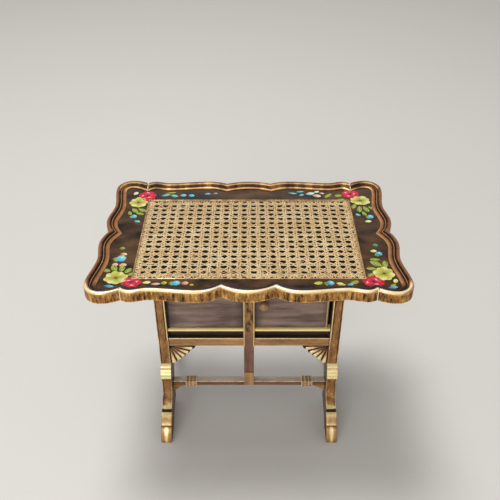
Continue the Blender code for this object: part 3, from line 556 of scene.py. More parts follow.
# Centre post: an upright of red-brown wood, with gilt beads beside a mottled black face in the cupboard.
# A plate of pale wood is planted over its foot on the stretcher.
MOTTLE_BASE = 0.236
MOTTLE_FULL = 0.262
post_wood, post_tree, post_shader = new_material("mottled_post_wood")
post_grain = lay_grain(post_tree, (200.0, 200.0, GRAIN_ALONG), paint(74, 48, 38), paint(164, 117, 92))
mottle = noise(object_place(post_tree, (1.0, 1.0, 0.35)), 130.0, 4.0, 0.7)
mottled = mix_colours(spread(mottle, 0.38, 0.56), paint(26, 17, 12), paint(158, 110, 58))
in_cupboard = spread(object_axes(post_tree)["Z"], MOTTLE_BASE, MOTTLE_FULL)
feed(post_shader, {"Base Color": mix_colours(in_cupboard, post_grain["Color"], mottled),
                   "Roughness": post_grain["Roughness"]})
raise_surface(post_shader, post_grain["Height"], GRAIN_RELIEF)
finish_nodes(post_wood, "centre_post")
pale_wood = wood_material("pale_plate_wood", paint(120, 84, 50), paint(206, 162, 108), Z_AXIS)
finish_nodes(pale_wood, "post_foot_plate")


# Door: the right-hand panel, a weathered board that turns on two brass pivot pins at its outer edge.
# A knob of turned wood is dowelled to it near the post.
KNOB_PROFILE = ((0.0, 0.0), (0.0068, 0.0), (0.0070, 0.0012), (0.0052, 0.0030), (0.0050, 0.0055),
                (0.0075, 0.0080), (0.0102, 0.0110), (0.0110, 0.0145), (0.0102, 0.0180), (0.0074, 0.0208),
                (0.0035, 0.0219), (0.0, 0.0220))
KNOB_SIDES = 32
KNOB_MERGE = 0.00002
knob_low, knob_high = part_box("door_knob")
knob_root = Vector(((knob_low.x + knob_high.x) / 2, knob_high.y, (knob_low.z + knob_high.z) / 2))
knob = bmesh.new()
knob_verts = [knob.verts.new((radius, -reach, 0.0)) for radius, reach in KNOB_PROFILE]
knob_edges = [knob.edges.new(pair) for pair in zip(knob_verts, knob_verts[1:])]
bmesh.ops.spin(knob, geom=knob_verts + knob_edges, cent=(0, 0, 0), axis=(0, 1, 0), dvec=(0, 0, 0),
               angle=math.tau, steps=KNOB_SIDES, use_merge=True)
bmesh.ops.remove_doubles(knob, verts=knob.verts[:], dist=KNOB_MERGE)
bmesh.ops.recalc_face_normals(knob, faces=knob.faces[:])
bmesh.ops.translate(knob, verts=knob.verts[:], vec=knob_root)
knob_wood = wood_material("turned_knob_wood", paint(112, 78, 48), paint(180, 138, 92), Y_AXIS, coat=0.35)
knob_piece = add_piece("turned_knob", knob, knob_wood, "door")
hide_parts("door_knob")
brass, brass_tree, brass_shader = new_material("turned_brass")
turning = noise(object_place(brass_tree, (40.0, 40.0, 900.0)), 1.0, 3.0)
feed(brass_shader, {"Base Color": mix_colours(turning, paint(150, 108, 48), paint(222, 180, 100)),
                    "Roughness": spread(turning, 0.3, 0.7, 0.22, 0.42), "Metallic": 1.0})
finish_nodes(brass, "pivot_pin_lower", "pivot_pin_upper", "pivot_washer")


# Fan brackets: fans of carved wood, glued into the corners under the lower rail. Five gilt petals on a
# dark ground spread from the corner and end along a slant.
FAN_PETALS = 5
FAN_FLATNESS = 0.85
PETAL_START = 0.10
PETAL_STOP = 0.97
PETAL_ROOT = 0.0014
PETAL_END = 0.0060
PETAL_DEPTH = 0.75
PETAL_SIDES = 14
PETAL_HOLLOW_SHINE = -0.25
PETAL_CREST_SHINE = 1.45
fan_ground = gilt_material("fan_ground", crest=0.0, hollow=paint(30, 18, 11), wear=0.15)
finish_nodes(fan_ground, "fan_left", "fan_right")
petal_gilt = gilt_material("petal_gilding", hollow=paint(34, 20, 12), gold=paint(252, 226, 170), wear=0.2)
for side, inwards in (("left", 1), ("right", -1)):
    low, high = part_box("fan_" + side)
    corner = Vector((low.x if side == "left" else high.x, low.y, high.z))
    flatten = (Matrix.Translation(corner) @ Matrix.Diagonal((1.0, PETAL_DEPTH, 1.0, 1.0))
               @ Matrix.Translation(-corner))
    width = inwards * (high.x - low.x)
    height = high.z - low.z
    fan = bmesh.new()
    crest = fan.verts.layers.float.new("crest")
    for petal in range(FAN_PETALS):
        turn = math.pi / 2 * (petal + 0.5) / FAN_PETALS
        reach = (1.0 / (math.cos(turn) + math.sin(turn))) ** FAN_FLATNESS
        along = Vector((math.cos(turn) * width, 0.0, -math.sin(turn) * height))
        verts = round_bar(fan, corner + along * PETAL_START, corner + along * (reach * PETAL_STOP),
                          PETAL_ROOT, PETAL_END, PETAL_SIDES)
        bmesh.ops.transform(fan, matrix=flatten, verts=verts)
        for vert in verts:
            proud = max(0.0, (corner.y - vert.co.y) / (PETAL_END * PETAL_DEPTH))
            vert[crest] = PETAL_HOLLOW_SHINE + PETAL_CREST_SHINE * proud
    add_piece("fan_petals_" + side, fan, petal_gilt, "stand", sharp_angle=60.0)


# Stretcher: a slim rail of brown wood between the legs, painted pale on top as a painted highlight, held by
# gilt brackets. Two gilt bands are wrapped round it and ringed with fine bright beads. A thin pale bead
# along the front top edge paints the highlight on that edge.
RING_RADIUS = 0.0011
RING_FRONT_SHARE = 0.7
BAND_WRAP = 0.0007
BAND_RINGS = 4
EDGE_HIGHLIGHT_RADIUS = 0.0008
# The top face of the bar is painted pale as a painted highlight.
stretcher_wood = wood_with_painted_top("stretcher_wood", paint(70, 45, 28), paint(158, 112, 72),
                                paint(178, 154, 132), paint(255, 238, 216))
finish_nodes(stretcher_wood, "stretcher")
band_gilt = gilt_material("band_gilding", crest=0.50, body=paint(166, 120, 72))
finish_nodes(band_gilt, "stretcher_band_left", "stretcher_band_right", "stretcher_bracket_left",
             "stretcher_bracket_right")
bar_low, bar_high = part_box("stretcher")
wraps = bmesh.new()
rings = bmesh.new()
for side in ("left", "right"):
    low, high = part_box("stretcher_band_" + side)
    wrap_low = Vector((low.x, low.y + BAND_WRAP, bar_low.z - BAND_WRAP))
    wrap_high = Vector((high.x, bar_high.y + BAND_WRAP, bar_high.z + BAND_WRAP))
    wrap_place = Matrix.Translation((wrap_low + wrap_high) / 2)
    wrap_size = Matrix.Diagonal((*(wrap_high - wrap_low), 1.0))
    bmesh.ops.create_cube(wraps, size=1.0, matrix=wrap_place @ wrap_size)
    for ring in range(BAND_RINGS):
        x = low.x + RING_RADIUS + (high.x - low.x - 2 * RING_RADIUS) * ring / (BAND_RINGS - 1)
        front_top = (x, low.y, high.z)
        round_bar(rings, (x, low.y, low.z), front_top, RING_RADIUS * RING_FRONT_SHARE)
        round_bar(rings, front_top, (x, wrap_high.y, wrap_high.z), RING_RADIUS)
add_piece("stretcher_band_wraps", wraps, band_gilt, "stand")
plate_low, plate_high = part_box("post_foot_plate")
# Painted highlight: a thin pale bead along the front top edge of the bar, on the same mesh as the rings.
bar_edge_highlight = (bar_low.y + EDGE_HIGHLIGHT_RADIUS / 2, bar_high.z - EDGE_HIGHLIGHT_RADIUS / 2)
for x_low, x_high in ((bar_low.x, plate_low.x), (plate_high.x, bar_high.x)):
    round_bar(rings, (x_low, *bar_edge_highlight), (x_high, *bar_edge_highlight), EDGE_HIGHLIGHT_RADIUS)
ring_gilt = gilt_material("ring_and_edge_highlight_gilding", crest=0.74, body=paint(186, 148, 106), gold=paint(255, 240, 214),
                          wear=0.4)
add_piece("stretcher_rings_and_edge_highlight", rings, ring_gilt, "stand")


# Tray board: a thin wooden board held in the rebate of the rim, lacquered brown-black and polished, with
# brown streaks where the lacquer has worn thin. Battens under it keep the tray on the stand.
RECESS_TOP = 0.0006
RECESS_FULL = 0.0012
LACQUER_RELIEF = 0.00006
lacquer, lacquer_tree, lacquer_shader = new_material("brown_black_lacquer")
cloud = noise(object_place(lacquer_tree, (15.0, 24.0, 24.0)))
rub = noise(object_place(lacquer_tree, (60.0, 420.0, 420.0)), 1.0, 3.0)
lacquered = mix_colours(spread(cloud, 0.36, 0.72), paint(24, 14, 8), paint(98, 66, 38))
lacquered = mix_colours(spread(rub, 0.52, 0.75, 0.0, 0.16), lacquered, paint(104, 78, 58))
board_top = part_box("tray_floor")[1].z
board_height = object_axes(lacquer_tree)["Z"]
# Painted shade: the floor of the recess under the cane is painted near-black.
shade_under_cane = spread(board_height, board_top - RECESS_FULL, board_top - RECESS_TOP, 1.0, 0.0)
feed(lacquer_shader, {"Base Color": mix_colours(shade_under_cane, lacquered, paint(14, 11, 10)),
                      "Roughness": spread(cloud, 0.3, 0.7, 0.22, 0.40), "Specular IOR Level": 0.18,
                      "Coat Weight": 0.06, "Coat Roughness": 0.15})
raise_surface(lacquer_shader, rub, LACQUER_RELIEF)
finish_nodes(lacquer, "tray_floor")
finish_nodes(upright_wood, "batten_left", "batten_right")


# Rim: a scalloped moulding round the tray, cut from wood in four lengths that meet at joints. Its members
# are mitred at every cusp, gilded, and rubbed through to brown in the hollows. Their gilding also carries
# painted highlights and painted shade that differ between front, back and sides.
HALF_WIDTH = 0.303
HALF_DEPTH = 0.202
TAPER = 0.018
CORNER_RADIUS = 0.034
SIDE_CUSP_DEPTH = 0.0155
SIDE_LOBE = (0.0025, 0.039)
SIDE_WAIST = (0.0095, 0.096)
JOINT = (0.069, 0.0105)
SHOULDER = (0.087, 0.0045)
HOLLOW = (0.120, 0.0105)
LONG_LOBE = (0.090, 0.0037)
LONG_CUSP_AT = 0.050
FRONT_CUSP_DEPTH = 0.019
BACK_CUSP_DEPTH = 0.013
CENTRE_LOBE_DEPTH = 0.004
RIM_STEPS = 9
RIM_HEIGHT = 0.0245
LOWER_EDGE = 0.0022
ROLL_HALF = 0.0045
ROLL_RISE = 0.004
ROLL_STEPS = 10
GROOVE = 0.0010
FILLET_WIDTH = 0.0030
FILLET_RISE = 0.0013
COVE_END = (0.0153, 0.0056)
COVE_SINK = 0.0009
BAND_END = (0.0225, 0.0082)
BAND_SWELL = 0.0016
ARC_STEPS = 6
REBATE_WALL = 0.0145
REBATE_DROP = 0.0082
MERGE_DISTANCE = 0.00001
LEAST_INSET = 1e-7


def half_outline(cusp_depth):
    """Right half of the outline behind the side cusp, up to the middle of the long edge."""
    swing = CORNER_RADIUS * (1.0 - math.cos(math.pi / 4))
    joint = (HALF_WIDTH - JOINT[0], HALF_DEPTH - JOINT[1])
    cusp = (LONG_CUSP_AT, HALF_DEPTH - cusp_depth)
    side_run = smooth_run([
        (HALF_WIDTH - SIDE_CUSP_DEPTH, 0.0),
        (HALF_WIDTH - SIDE_LOBE[0], SIDE_LOBE[1]),
        (HALF_WIDTH - SIDE_WAIST[0], SIDE_WAIST[1]),
        (HALF_WIDTH, HALF_DEPTH - CORNER_RADIUS),
        (HALF_WIDTH - swing, HALF_DEPTH - swing),
        (HALF_WIDTH - CORNER_RADIUS, HALF_DEPTH),
        joint], RIM_STEPS)
    shoulder_run = smooth_run([
        joint,
        (HALF_WIDTH - SHOULDER[0], HALF_DEPTH - SHOULDER[1]),
        (HALF_WIDTH - HOLLOW[0], HALF_DEPTH - HOLLOW[1]),
        (LONG_LOBE[0], HALF_DEPTH - LONG_LOBE[1]),
        cusp], RIM_STEPS)
    centre_run = smooth_run([cusp, (0.0, HALF_DEPTH - CENTRE_LOBE_DEPTH), (-cusp[0], cusp[1])], RIM_STEPS)
    return side_run + shoulder_run[1:] + centre_run[1:RIM_STEPS + 1]


def on_tray(x, y, z):
    """A point of the plain outline, drawn in towards the back of the tray."""
    return Vector((x * (1.0 - TAPER * y / HALF_DEPTH), y, z))


def arc_points(start, end, swell):
    """Points of (inward, drop) after start up to end, bowed to one side by swell."""
    start = Vector(start)
    chord = Vector(end) - start
    bow = Vector((chord.y, -chord.x)).normalized() * swell
    shares = [i / ARC_STEPS for i in range(1, ARC_STEPS + 1)]
    return [tuple(start + chord * share + bow * math.sin(math.pi * share)) for share in shares]


def inset_face(bm, face, thickness):
    """Shrink a face by an even thickness, mitred at its corners."""
    bmesh.ops.inset_region(bm, faces=[face], thickness=thickness, use_even_offset=True, use_boundary=True)


rim_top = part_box("rim_right")[1].z
front_half = [(p.x, -p.y) for p in reversed(half_outline(FRONT_CUSP_DEPTH))]
back_half = [(p.x, p.y) for p in half_outline(BACK_CUSP_DEPTH)]
roll_turns = [math.pi * i / ROLL_STEPS for i in range(1, ROLL_STEPS + 1)]
groove_end = (2 * ROLL_HALF + GROOVE / 2, ROLL_RISE + GROOVE)
fillet_end = (groove_end[0] + FILLET_WIDTH, ROLL_RISE + GROOVE)
rim_members = {
    "lower edge": [(0.0, RIM_HEIGHT - LOWER_EDGE)],
    "outer face": [(0.0, ROLL_RISE)],
    "roll": [(ROLL_HALF * (1 - math.cos(turn)), ROLL_RISE * (1 - math.sin(turn))) for turn in roll_turns],
    "groove": [groove_end],
    "fillet": arc_points(groove_end, fillet_end, FILLET_RISE),
    "cove": arc_points(fillet_end, COVE_END, -COVE_SINK),
    "band": arc_points(COVE_END, BAND_END, BAND_SWELL),
}
rim = bmesh.new()
rim_profile = rim.verts.layers.float.new("profile")
chain = [rim.verts.new(on_tray(x, y, rim_top - RIM_HEIGHT)) for x, y in front_half + back_half[1:]]
chain_edges = [rim.edges.new(pair) for pair in zip(chain, chain[1:])]
bmesh.ops.mirror(rim, geom=chain + chain_edges, axis="X", merge_dist=MERGE_DISTANCE)
bmesh.ops.remove_doubles(rim, verts=rim.verts[:], dist=MERGE_DISTANCE)
foot_face = bmesh.ops.contextual_create(rim, geom=rim.edges[:])["faces"][0]
top_face = extrude_cap(rim, foot_face)
last_drop = RIM_HEIGHT
last_inward = 0.0
is_raised = False
for member, points in enumerate(rim_members.values()):
    for i, (inward, drop) in enumerate(points):
        if inward - last_inward > LEAST_INSET:
            inset_face(rim, top_face, inward - last_inward)
        elif is_raised:
            old_face = top_face
            top_face = extrude_cap(rim, old_face)
            bmesh.ops.delete(rim, geom=[old_face], context="FACES_ONLY")
        bmesh.ops.translate(rim, verts=top_face.verts[:], vec=(0.0, 0.0, last_drop - drop))
        for vert in top_face.verts:
            vert[rim_profile] = (member + (i + 1) / len(points)) / len(rim_members)
        last_inward = inward
        last_drop = drop
        is_raised = True
bmesh.ops.delete(rim, geom=[top_face], context="FACES_ONLY")
inset_face(rim, foot_face, REBATE_WALL)
bmesh.ops.translate(rim, verts=foot_face.verts[:], vec=(0.0, 0.0, RIM_HEIGHT - REBATE_DROP))
bmesh.ops.delete(rim, geom=[foot_face], context="FACES_ONLY")
bmesh.ops.recalc_face_normals(rim, faces=rim.faces[:])

# Crest across the profile for the sides, the back and the front. Besides the wear of the gilding these hold
# painted light: a painted highlight over the front roll, on the inner half of the back roll and at the
# inner edges of the bands, and painted shade on the inner half of the side rolls and over the inner members
# at the front.
OUTER_SHINE = ((0.0, 0.7), (0.10, 0.6), (0.13, 0.42))
SIDE_SHINE = OUTER_SHINE + (
    (0.27, 0.48), (0.31, 0.48), (0.345, 0.42), (0.375, 0.22), (0.40, 0.02), (0.43, 0.0), (0.58, 0.0),
    (0.61, 0.45), (0.66, 0.68), (0.70, 0.06), (0.73, 0.0), (0.825, 0.0), (0.85, 0.30), (0.90, 0.44),
    (0.95, 0.58), (0.975, 0.74), (0.99, 0.36), (1.0, 0.0))
BACK_SHINE = OUTER_SHINE + (
    (0.27, 0.48), (0.31, 0.26), (0.355, 0.28), (0.375, 0.36), (0.392, 0.80), (0.406, 1.0), (0.416, 0.5),
    (0.43, 0.0), (0.57, 0.0), (0.60, 0.32), (0.66, 0.42), (0.70, 0.15), (0.80, 0.18), (0.86, 0.30),
    (0.90, 0.42), (0.94, 0.80), (0.965, 0.95), (0.98, 0.45), (1.0, 0.0))
FRONT_SHINE = OUTER_SHINE + (
    (0.26, 0.48), (0.29, 0.66), (0.315, 0.95), (0.33, 1.0), (0.40, 1.0), (0.415, 0.6), (0.43, 0.2),
    (0.45, 0.0), (0.58, 0.0), (0.63, 0.26), (0.68, 0.10), (0.72, 0.0), (0.88, 0.0), (0.93, 0.10),
    (1.0, 0.0))


def ramp(value, stops):
    """A value read off a line through stops of (place, share)."""
    node = add_node(value.id_data, "ShaderNodeValToRGB", {"Fac": value})
    while len(node.color_ramp.elements) < len(stops):
        node.color_ramp.elements.new(1.0)
    for element, (place, share) in zip(node.color_ramp.elements, stops):
        element.position = place
        element.color = (share, share, share, 1.0)
    return node.outputs["Color"]


def within(value, start, full, fade, end):
    """1 from full to fade, and 0 before start and past end."""
    return calculate("MULTIPLY", spread(value, start, full), spread(value, fade, end, 1.0, 0.0))


rim_gilt, rim_tree, rim_shader = new_material("rim_gilding")
rim_place = point_value(rim_tree, "profile")
rim_axes = object_axes(rim_tree)
in_middle = spread(calculate("ABSOLUTE", rim_axes["X"]), 0.19, 0.20, 1.0, 0.0)
at_cusps = calculate("MULTIPLY", in_middle, spread(rim_axes["Y"], -0.145, -0.154))
at_front = calculate("MAXIMUM", at_cusps, spread(rim_axes["Y"], -0.160, -0.178))
at_back = spread(rim_axes["Y"], 0.155, 0.172)
on_face = spread(rim_place, 0.27, 0.30, 1.0, 0.0)
on_inner_members = spread(rim_place, 0.36, 0.39)
# Painted highlights: a cream crown along the front roll, and a highlight that comes and goes along the back
# members.
front_roll = calculate("MULTIPLY", within(rim_place, 0.285, 0.32, 0.40, 0.43), at_front)
front_crown = calculate("MULTIPLY", within(rim_place, 0.300, 0.325, 0.385, 0.41), at_front)
along_back = noise(object_place(rim_tree, (26.0, 0.0, 0.0)), 1.0, 2.0)
along_front = noise(object_place(rim_tree, (17.0, 0.0, 0.0)), 1.0, 2.0)
back_gleam = calculate("MULTIPLY", at_back, spread(along_back, 0.36, 0.62, -0.38, 0.16))
face_streak = noise(object_place(rim_tree, (150.0, 150.0, 30.0)), 1.0, 5.0, 0.8)
rim_crest = mix_colours(at_back, ramp(rim_place, SIDE_SHINE), ramp(rim_place, BACK_SHINE))
rim_crest = mix_colours(at_front, rim_crest, ramp(rim_place, FRONT_SHINE))
rim_crest = calculate("MULTIPLY_ADD", back_gleam, on_inner_members, rim_crest)
rim_crest = calculate("MULTIPLY_ADD", on_face, spread(face_streak, 0.36, 0.66, -0.48, 0.28), rim_crest)
# Painted shade on the flanks of the front roll that face right.
shaded_flank = spread(facing_axes(rim_tree)["X"], 0.04, 0.24, 0.0, -0.40)
rim_crest = calculate("MULTIPLY_ADD", front_roll, shaded_flank, rim_crest)
crown_highlight = calculate("MULTIPLY", front_crown, spread(along_front, 0.36, 0.56, 0.25, 1.0))
# The gold is rosier on the sides and yellower at front and back, where the painted highlights fall, and
# turns cream under the painted highlight on the front crown.
rim_gold = mix_colours(calculate("MAXIMUM", at_back, at_front), paint(220, 164, 104), paint(240, 198, 120))
rim_gold = mix_colours(crown_highlight, rim_gold, paint(255, 243, 210))
rim_body = mix_colours(on_face, paint(142, 92, 54), paint(164, 112, 50))
gild(rim_shader, rim_crest, 0.16, paint(34, 18, 9), rim_body, rim_gold, specular=0.25, relief=0.00008)
rim_piece = add_piece("scalloped_rim", rim, rim_gilt, "tray", sharp_angle=40.0)
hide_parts("rim_front", "rim_back", "rim_left", "rim_right")

# At each joint a thin bright bar paints the highlight on the joint, beside a dark gap.
JOINT_HIGHLIGHT_RADIUS = 0.0009
JOINT_GAP = 0.8 * JOINT_HIGHLIGHT_RADIUS
JOINT_GAP_SHIFT = Vector((0.0016, 0.0, 0.0))
OUTER_SECTION = ((-0.0002, RIM_HEIGHT - 0.001), (-0.0002, ROLL_RISE), (0.0012, 0.0014), (0.0045, -0.0001),
                 (0.0078, 0.0014), (0.0090, ROLL_RISE))
INNER_SECTION = ((0.0100, 0.0048), (0.0125, 0.0040), (0.0153, 0.0054), (0.0190, 0.0056), (0.0225, 0.0080))
joint_highlights = bmesh.new()
joint_gaps = bmesh.new()
for x_sign in (1, -1):
    for y_sign in (1, -1):
        joint = on_tray(x_sign * (HALF_WIDTH - JOINT[0]), y_sign * (HALF_DEPTH - JOINT[1]), rim_top)
        section = OUTER_SECTION + INNER_SECTION if y_sign > 0 else OUTER_SECTION
        points = [joint + Vector((0.0, -y_sign * inward, -drop)) for inward, drop in section]
        shift = JOINT_GAP_SHIFT * x_sign
        for start, end in zip(points, points[1:]):
            round_bar(joint_highlights, start, end, JOINT_HIGHLIGHT_RADIUS)
            round_bar(joint_gaps, start + shift, end + shift, JOINT_GAP)
joint_highlight_gilt = gilt_material("joint_highlight_gilding", crest=0.95, gold=paint(255, 240, 206), wear=0.1)
add_piece("rim_joint_lines", joint_highlights, joint_highlight_gilt, "tray")
gap_gilt = gilt_material("joint_shadow", crest=0.0, hollow=paint(34, 20, 12), wear=0.1)
add_piece("rim_joint_gaps", joint_gaps, gap_gilt, "tray")


# Cane: strands of split cane woven over a dark board, in pairs along and across the tray and singly
# on both slants, so that round openings stay between them. A gilt bead holds its edge.
CANE_COUNTS = (22, 15)
CANE_MARGINS = (0.013, 0.0165)
CANE_GAP = 0.0085
PAIR_OFFSET = 0.0023
UPRIGHT_WIDTH = 0.0032
CROSSING_WIDTH = 0.0033
SLANT_WIDTH = 0.0026
EDGE_WIDTH = 0.0027
EDGE_INSET = 0.0017
EDGE_MIDDLE_SHARE = 0.55
STITCH_REACH = 0.975
STITCH_LEAN = 0.0045
STITCH_SWAY = 0.001
STITCH_WIDTH = 0.0026
FIBRE_WIDTH = 0.0015
FIBRE_TURNS = (0.0, 0.6, -0.6, 1.57, 0.3, -0.3)
FIBRE_REACH = 0.97
FIBRE_SCATTER = 0.15
HALF_FIBRE_LENGTHS = (0.003, 0.009)
FRAY_DEPTH = 0.012
FRAY_INSET = 0.004
FRAYED_FIBRES = 150
PLAIN_RISE = 0.0009
SLANT_RISE = 0.0016
FIBRE_RISE = 0.0021
CANE_RELIEF = 0.0001
STRAND_CROWN = 0.00035
STRAND_THICK = 0.0004
WEAVE_SWING = 0.00032
STRAND_WOBBLE = 0.00085
WOBBLE_LENGTH = 0.045
LEAST_FULLNESS = 0.86
FULLNESS_RANGE = 0.26
SEGMENTS_PER_CELL = 4
cane_low, cane_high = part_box("cane_panel")
cane_middle = (cane_low + cane_high) / 2
plain_level = cane_low.z + PLAIN_RISE
slant_level = cane_low.z + SLANT_RISE
fibre_level = cane_low.z + FIBRE_RISE
half_cane = (cane_high.x - cane_middle.x, cane_high.y - cane_middle.y)
fields = [2 * (half - margin) for half, margin in zip(half_cane, CANE_MARGINS)]
pitches = [(field + CANE_GAP) / count for field, count in zip(fields, CANE_COUNTS)]
randomness = random.Random(7)


def strand_layers(bm):
    """Layers for how far along and across a strand or a brush stroke a point lies, and for its tint."""
    return [bm.verts.layers.float.new(name) for name in ("along", "across", "tint")]


cane = bmesh.new()
cane_along, cane_across, cane_tint = strand_layers(cane)


def weave_strand(start, end, width, level, swing_at=lambda flat: 0.0):
    """Lay a crowned ribbon between two flat points, lifted and sunk along its length."""
    line = Vector(end) - Vector(start)
    side_way = Vector((-line.y, line.x)).normalized()
    steps = max(2, round(line.length / min(pitches) * SEGMENTS_PER_CELL))
    ribbon = bmesh.ops.create_grid(cane, x_segments=steps, y_segments=2, size=0.5)["verts"]
    tint = randomness.random()
    phase = math.tau * randomness.random()
    fullness = LEAST_FULLNESS + FULLNESS_RANGE * randomness.random()
    for vert in ribbon:
        share = vert.co.x + 0.5
        across = vert.co.y * 2.0
        wobble = STRAND_WOBBLE * math.sin(phase + math.tau * share * line.length / WOBBLE_LENGTH)
        flat = Vector(start) + line * share + side_way * (across * fullness * width / 2 + wobble)
        lift = WEAVE_SWING * swing_at(flat) + STRAND_CROWN * (1.0 - across * across)
        vert.co = (flat.x, flat.y, level + lift)
        vert[cane_along] = share * line.length
        vert[cane_across] = across
        vert[cane_tint] = tint


def pair_places(axis):
    """Places of the strand pairs along one axis, from edge to edge."""
    first = -fields[axis] / 2 - CANE_GAP / 2
    return [first + pitches[axis] * i for i in range(CANE_COUNTS[axis] + 1)]


for i, x in enumerate(pair_places(0)):
    for offset in (-PAIR_OFFSET, PAIR_OFFSET):
        weave_strand((x + offset, -half_cane[1]), (x + offset, half_cane[1]), UPRIGHT_WIDTH, plain_level,
                     lambda flat, i=i: math.cos(math.pi * (flat.y / pitches[1] + CANE_COUNTS[1] / 2 + i)))
for i, y in enumerate(pair_places(1)):
    for offset in (-PAIR_OFFSET, PAIR_OFFSET):
        weave_strand((-half_cane[0], y + offset), (half_cane[0], y + offset), CROSSING_WIDTH, plain_level,
                     lambda flat, i=i: -math.cos(math.pi * (flat.x / pitches[0] + CANE_COUNTS[0] / 2 + i)))
slant_reach = CANE_COUNTS[0] // 2 + CANE_COUNTS[1] // 2 + 1
for slope in (1, -1):
    for k in range(-slant_reach, slant_reach + 1):
        ends = [Vector((pitches[0] * (k + slope * y / pitches[1]), y))
                for y in (-half_cane[1], half_cane[1])]
        slant = ends[1] - ends[0]
        shares = sorted((limit - ends[0].x) / slant.x for limit in (-half_cane[0], half_cane[0]))
        start = max(0.0, shares[0])
        stop = min(1.0, shares[1])
        if (stop - start) * slant.length > pitches[0] / 2:
            weave_strand(ends[0] + slant * start, ends[0] + slant * stop, SLANT_WIDTH, slant_level,
                         lambda flat, slope=slope: slope * math.cos(math.tau * flat.y / pitches[1]))
for x_share, y_share in ((0.0, 1.0), (0.0, -1.0), (1.0, 0.0), (-1.0, 0.0)):
    margin = CANE_MARGINS[0] if x_share else CANE_MARGINS[1]
    edge_middle = Vector((x_share * half_cane[0], y_share * half_cane[1]))
    inwards = -Vector((x_share, y_share))
    edge_run = Vector((-inwards.y, inwards.x)) * (half_cane[1] if x_share else half_cane[0])
    insets = [EDGE_INSET, margin - EDGE_WIDTH / 2]
    if not x_share:
        insets.append(margin * EDGE_MIDDLE_SHARE)
    for inset in insets:
        row_middle = edge_middle + inwards * inset
        weave_strand(row_middle - edge_run, row_middle + edge_run, EDGE_WIDTH, plain_level)
    stitches = 2 * (CANE_COUNTS[1] if x_share else CANE_COUNTS[0]) + 4
    for k in range(stitches):
        root = edge_middle + edge_run * (2.0 * (k + 0.5) / stitches - 1.0) * STITCH_REACH
        lean = STITCH_LEAN * (1 if k % 2 else -1) + randomness.uniform(-STITCH_SWAY, STITCH_SWAY)
        tip = root + inwards * margin + edge_run.normalized() * lean
        weave_strand(root, tip, STITCH_WIDTH, slant_level, lambda flat: 1.0)
for k in range(FRAYED_FIBRES):
    middle = Vector([randomness.uniform(-FIBRE_REACH, FIBRE_REACH) * half for half in half_cane])
    if k % 3:
        middle.y = -half_cane[1] + abs(randomness.gauss(0.0, FRAY_DEPTH)) + FRAY_INSET
    turn = randomness.choice(FIBRE_TURNS) + randomness.gauss(0.0, FIBRE_SCATTER)
    half_fibre = Vector((math.cos(turn), math.sin(turn))) * randomness.uniform(*HALF_FIBRE_LENGTHS)
    ends = [Vector([min(half, max(-half, c)) for c, half in zip(middle + half_fibre * sign, half_cane)])
            for sign in (-1, 1)]
    weave_strand(ends[0], ends[1], FIBRE_WIDTH, fibre_level)
bmesh.ops.translate(cane, verts=cane.verts[:], vec=(cane_middle.x, cane_middle.y, 0.0))


def strand_place(tree, scale):
    """A place along and across a strand or a brush stroke, different for each one."""
    values = [calculate("MULTIPLY", point_value(tree, name), size)
              for name, size in zip(("along", "across", "tint"), scale)]
    return add_node(tree, "ShaderNodeCombineXYZ", dict(enumerate(values))).outputs[0]


split_cane, cane_tree, cane_shader = new_material("split_cane")
fibre = noise(strand_place(cane_tree, (60.0, 3.0, 90.0)), 1.0, 5.0, 0.65)
fleck = noise(object_place(cane_tree, (240.0, 240.0, 240.0)), 1.0, 3.0, 0.6)
weathering = noise(object_place(cane_tree, (22.0, 22.0, 22.0)), 1.0, 3.0)
# Strand colour: a random tint for each strand, flecks and weathering. The edges of each strand are darkened
# as painted shade between the strands, and the cane grows darker towards the back.
strand_side = calculate("ABSOLUTE", point_value(cane_tree, "across"))
cane_colour = mix_colours(spread(fibre, 0.30, 0.70), paint(184, 132, 66), paint(255, 233, 178))
for share, colour in (
        (spread(point_value(cane_tree, "tint"), 0.0, 1.0, 0.0, 0.5), paint(255, 236, 188)),
        (spread(strand_side, 0.55, 1.0, 0.0, 0.62), paint(104, 68, 32)),
        (spread(fleck, 0.60, 0.74, 0.0, 0.6), paint(104, 64, 30)),
        (spread(weathering, 0.40, 0.62, 0.18, 0.0), paint(176, 120, 58)),
        (spread(weathering, 0.52, 0.70, 0.0, 0.22), paint(255, 240, 196)),
        (spread(object_axes(cane_tree)["Y"], -0.05, 0.14, 0.0, 0.22), paint(158, 108, 50))):
    cane_colour = mix_colours(share, cane_colour, colour)
feed(cane_shader, {"Base Color": cane_colour, "Roughness": spread(fibre, 0.3, 0.7, 0.48, 0.30)})
raise_surface(cane_shader, fibre, CANE_RELIEF)
cane_piece = add_piece("woven_cane", cane, split_cane, "tray", sharp_angle=60.0)
thickness = cane_piece.modifiers.new("strand thickness", "SOLIDIFY")
thickness.thickness = STRAND_THICK
thickness.offset = -1.0
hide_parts("cane_panel")
cane_edge_gilt = gilt_material("cane_bead_gilding", crest=0.55, body=paint(150, 116, 72),
                               gold=paint(228, 196, 140))
finish_nodes(cane_edge_gilt, "cane_bead")


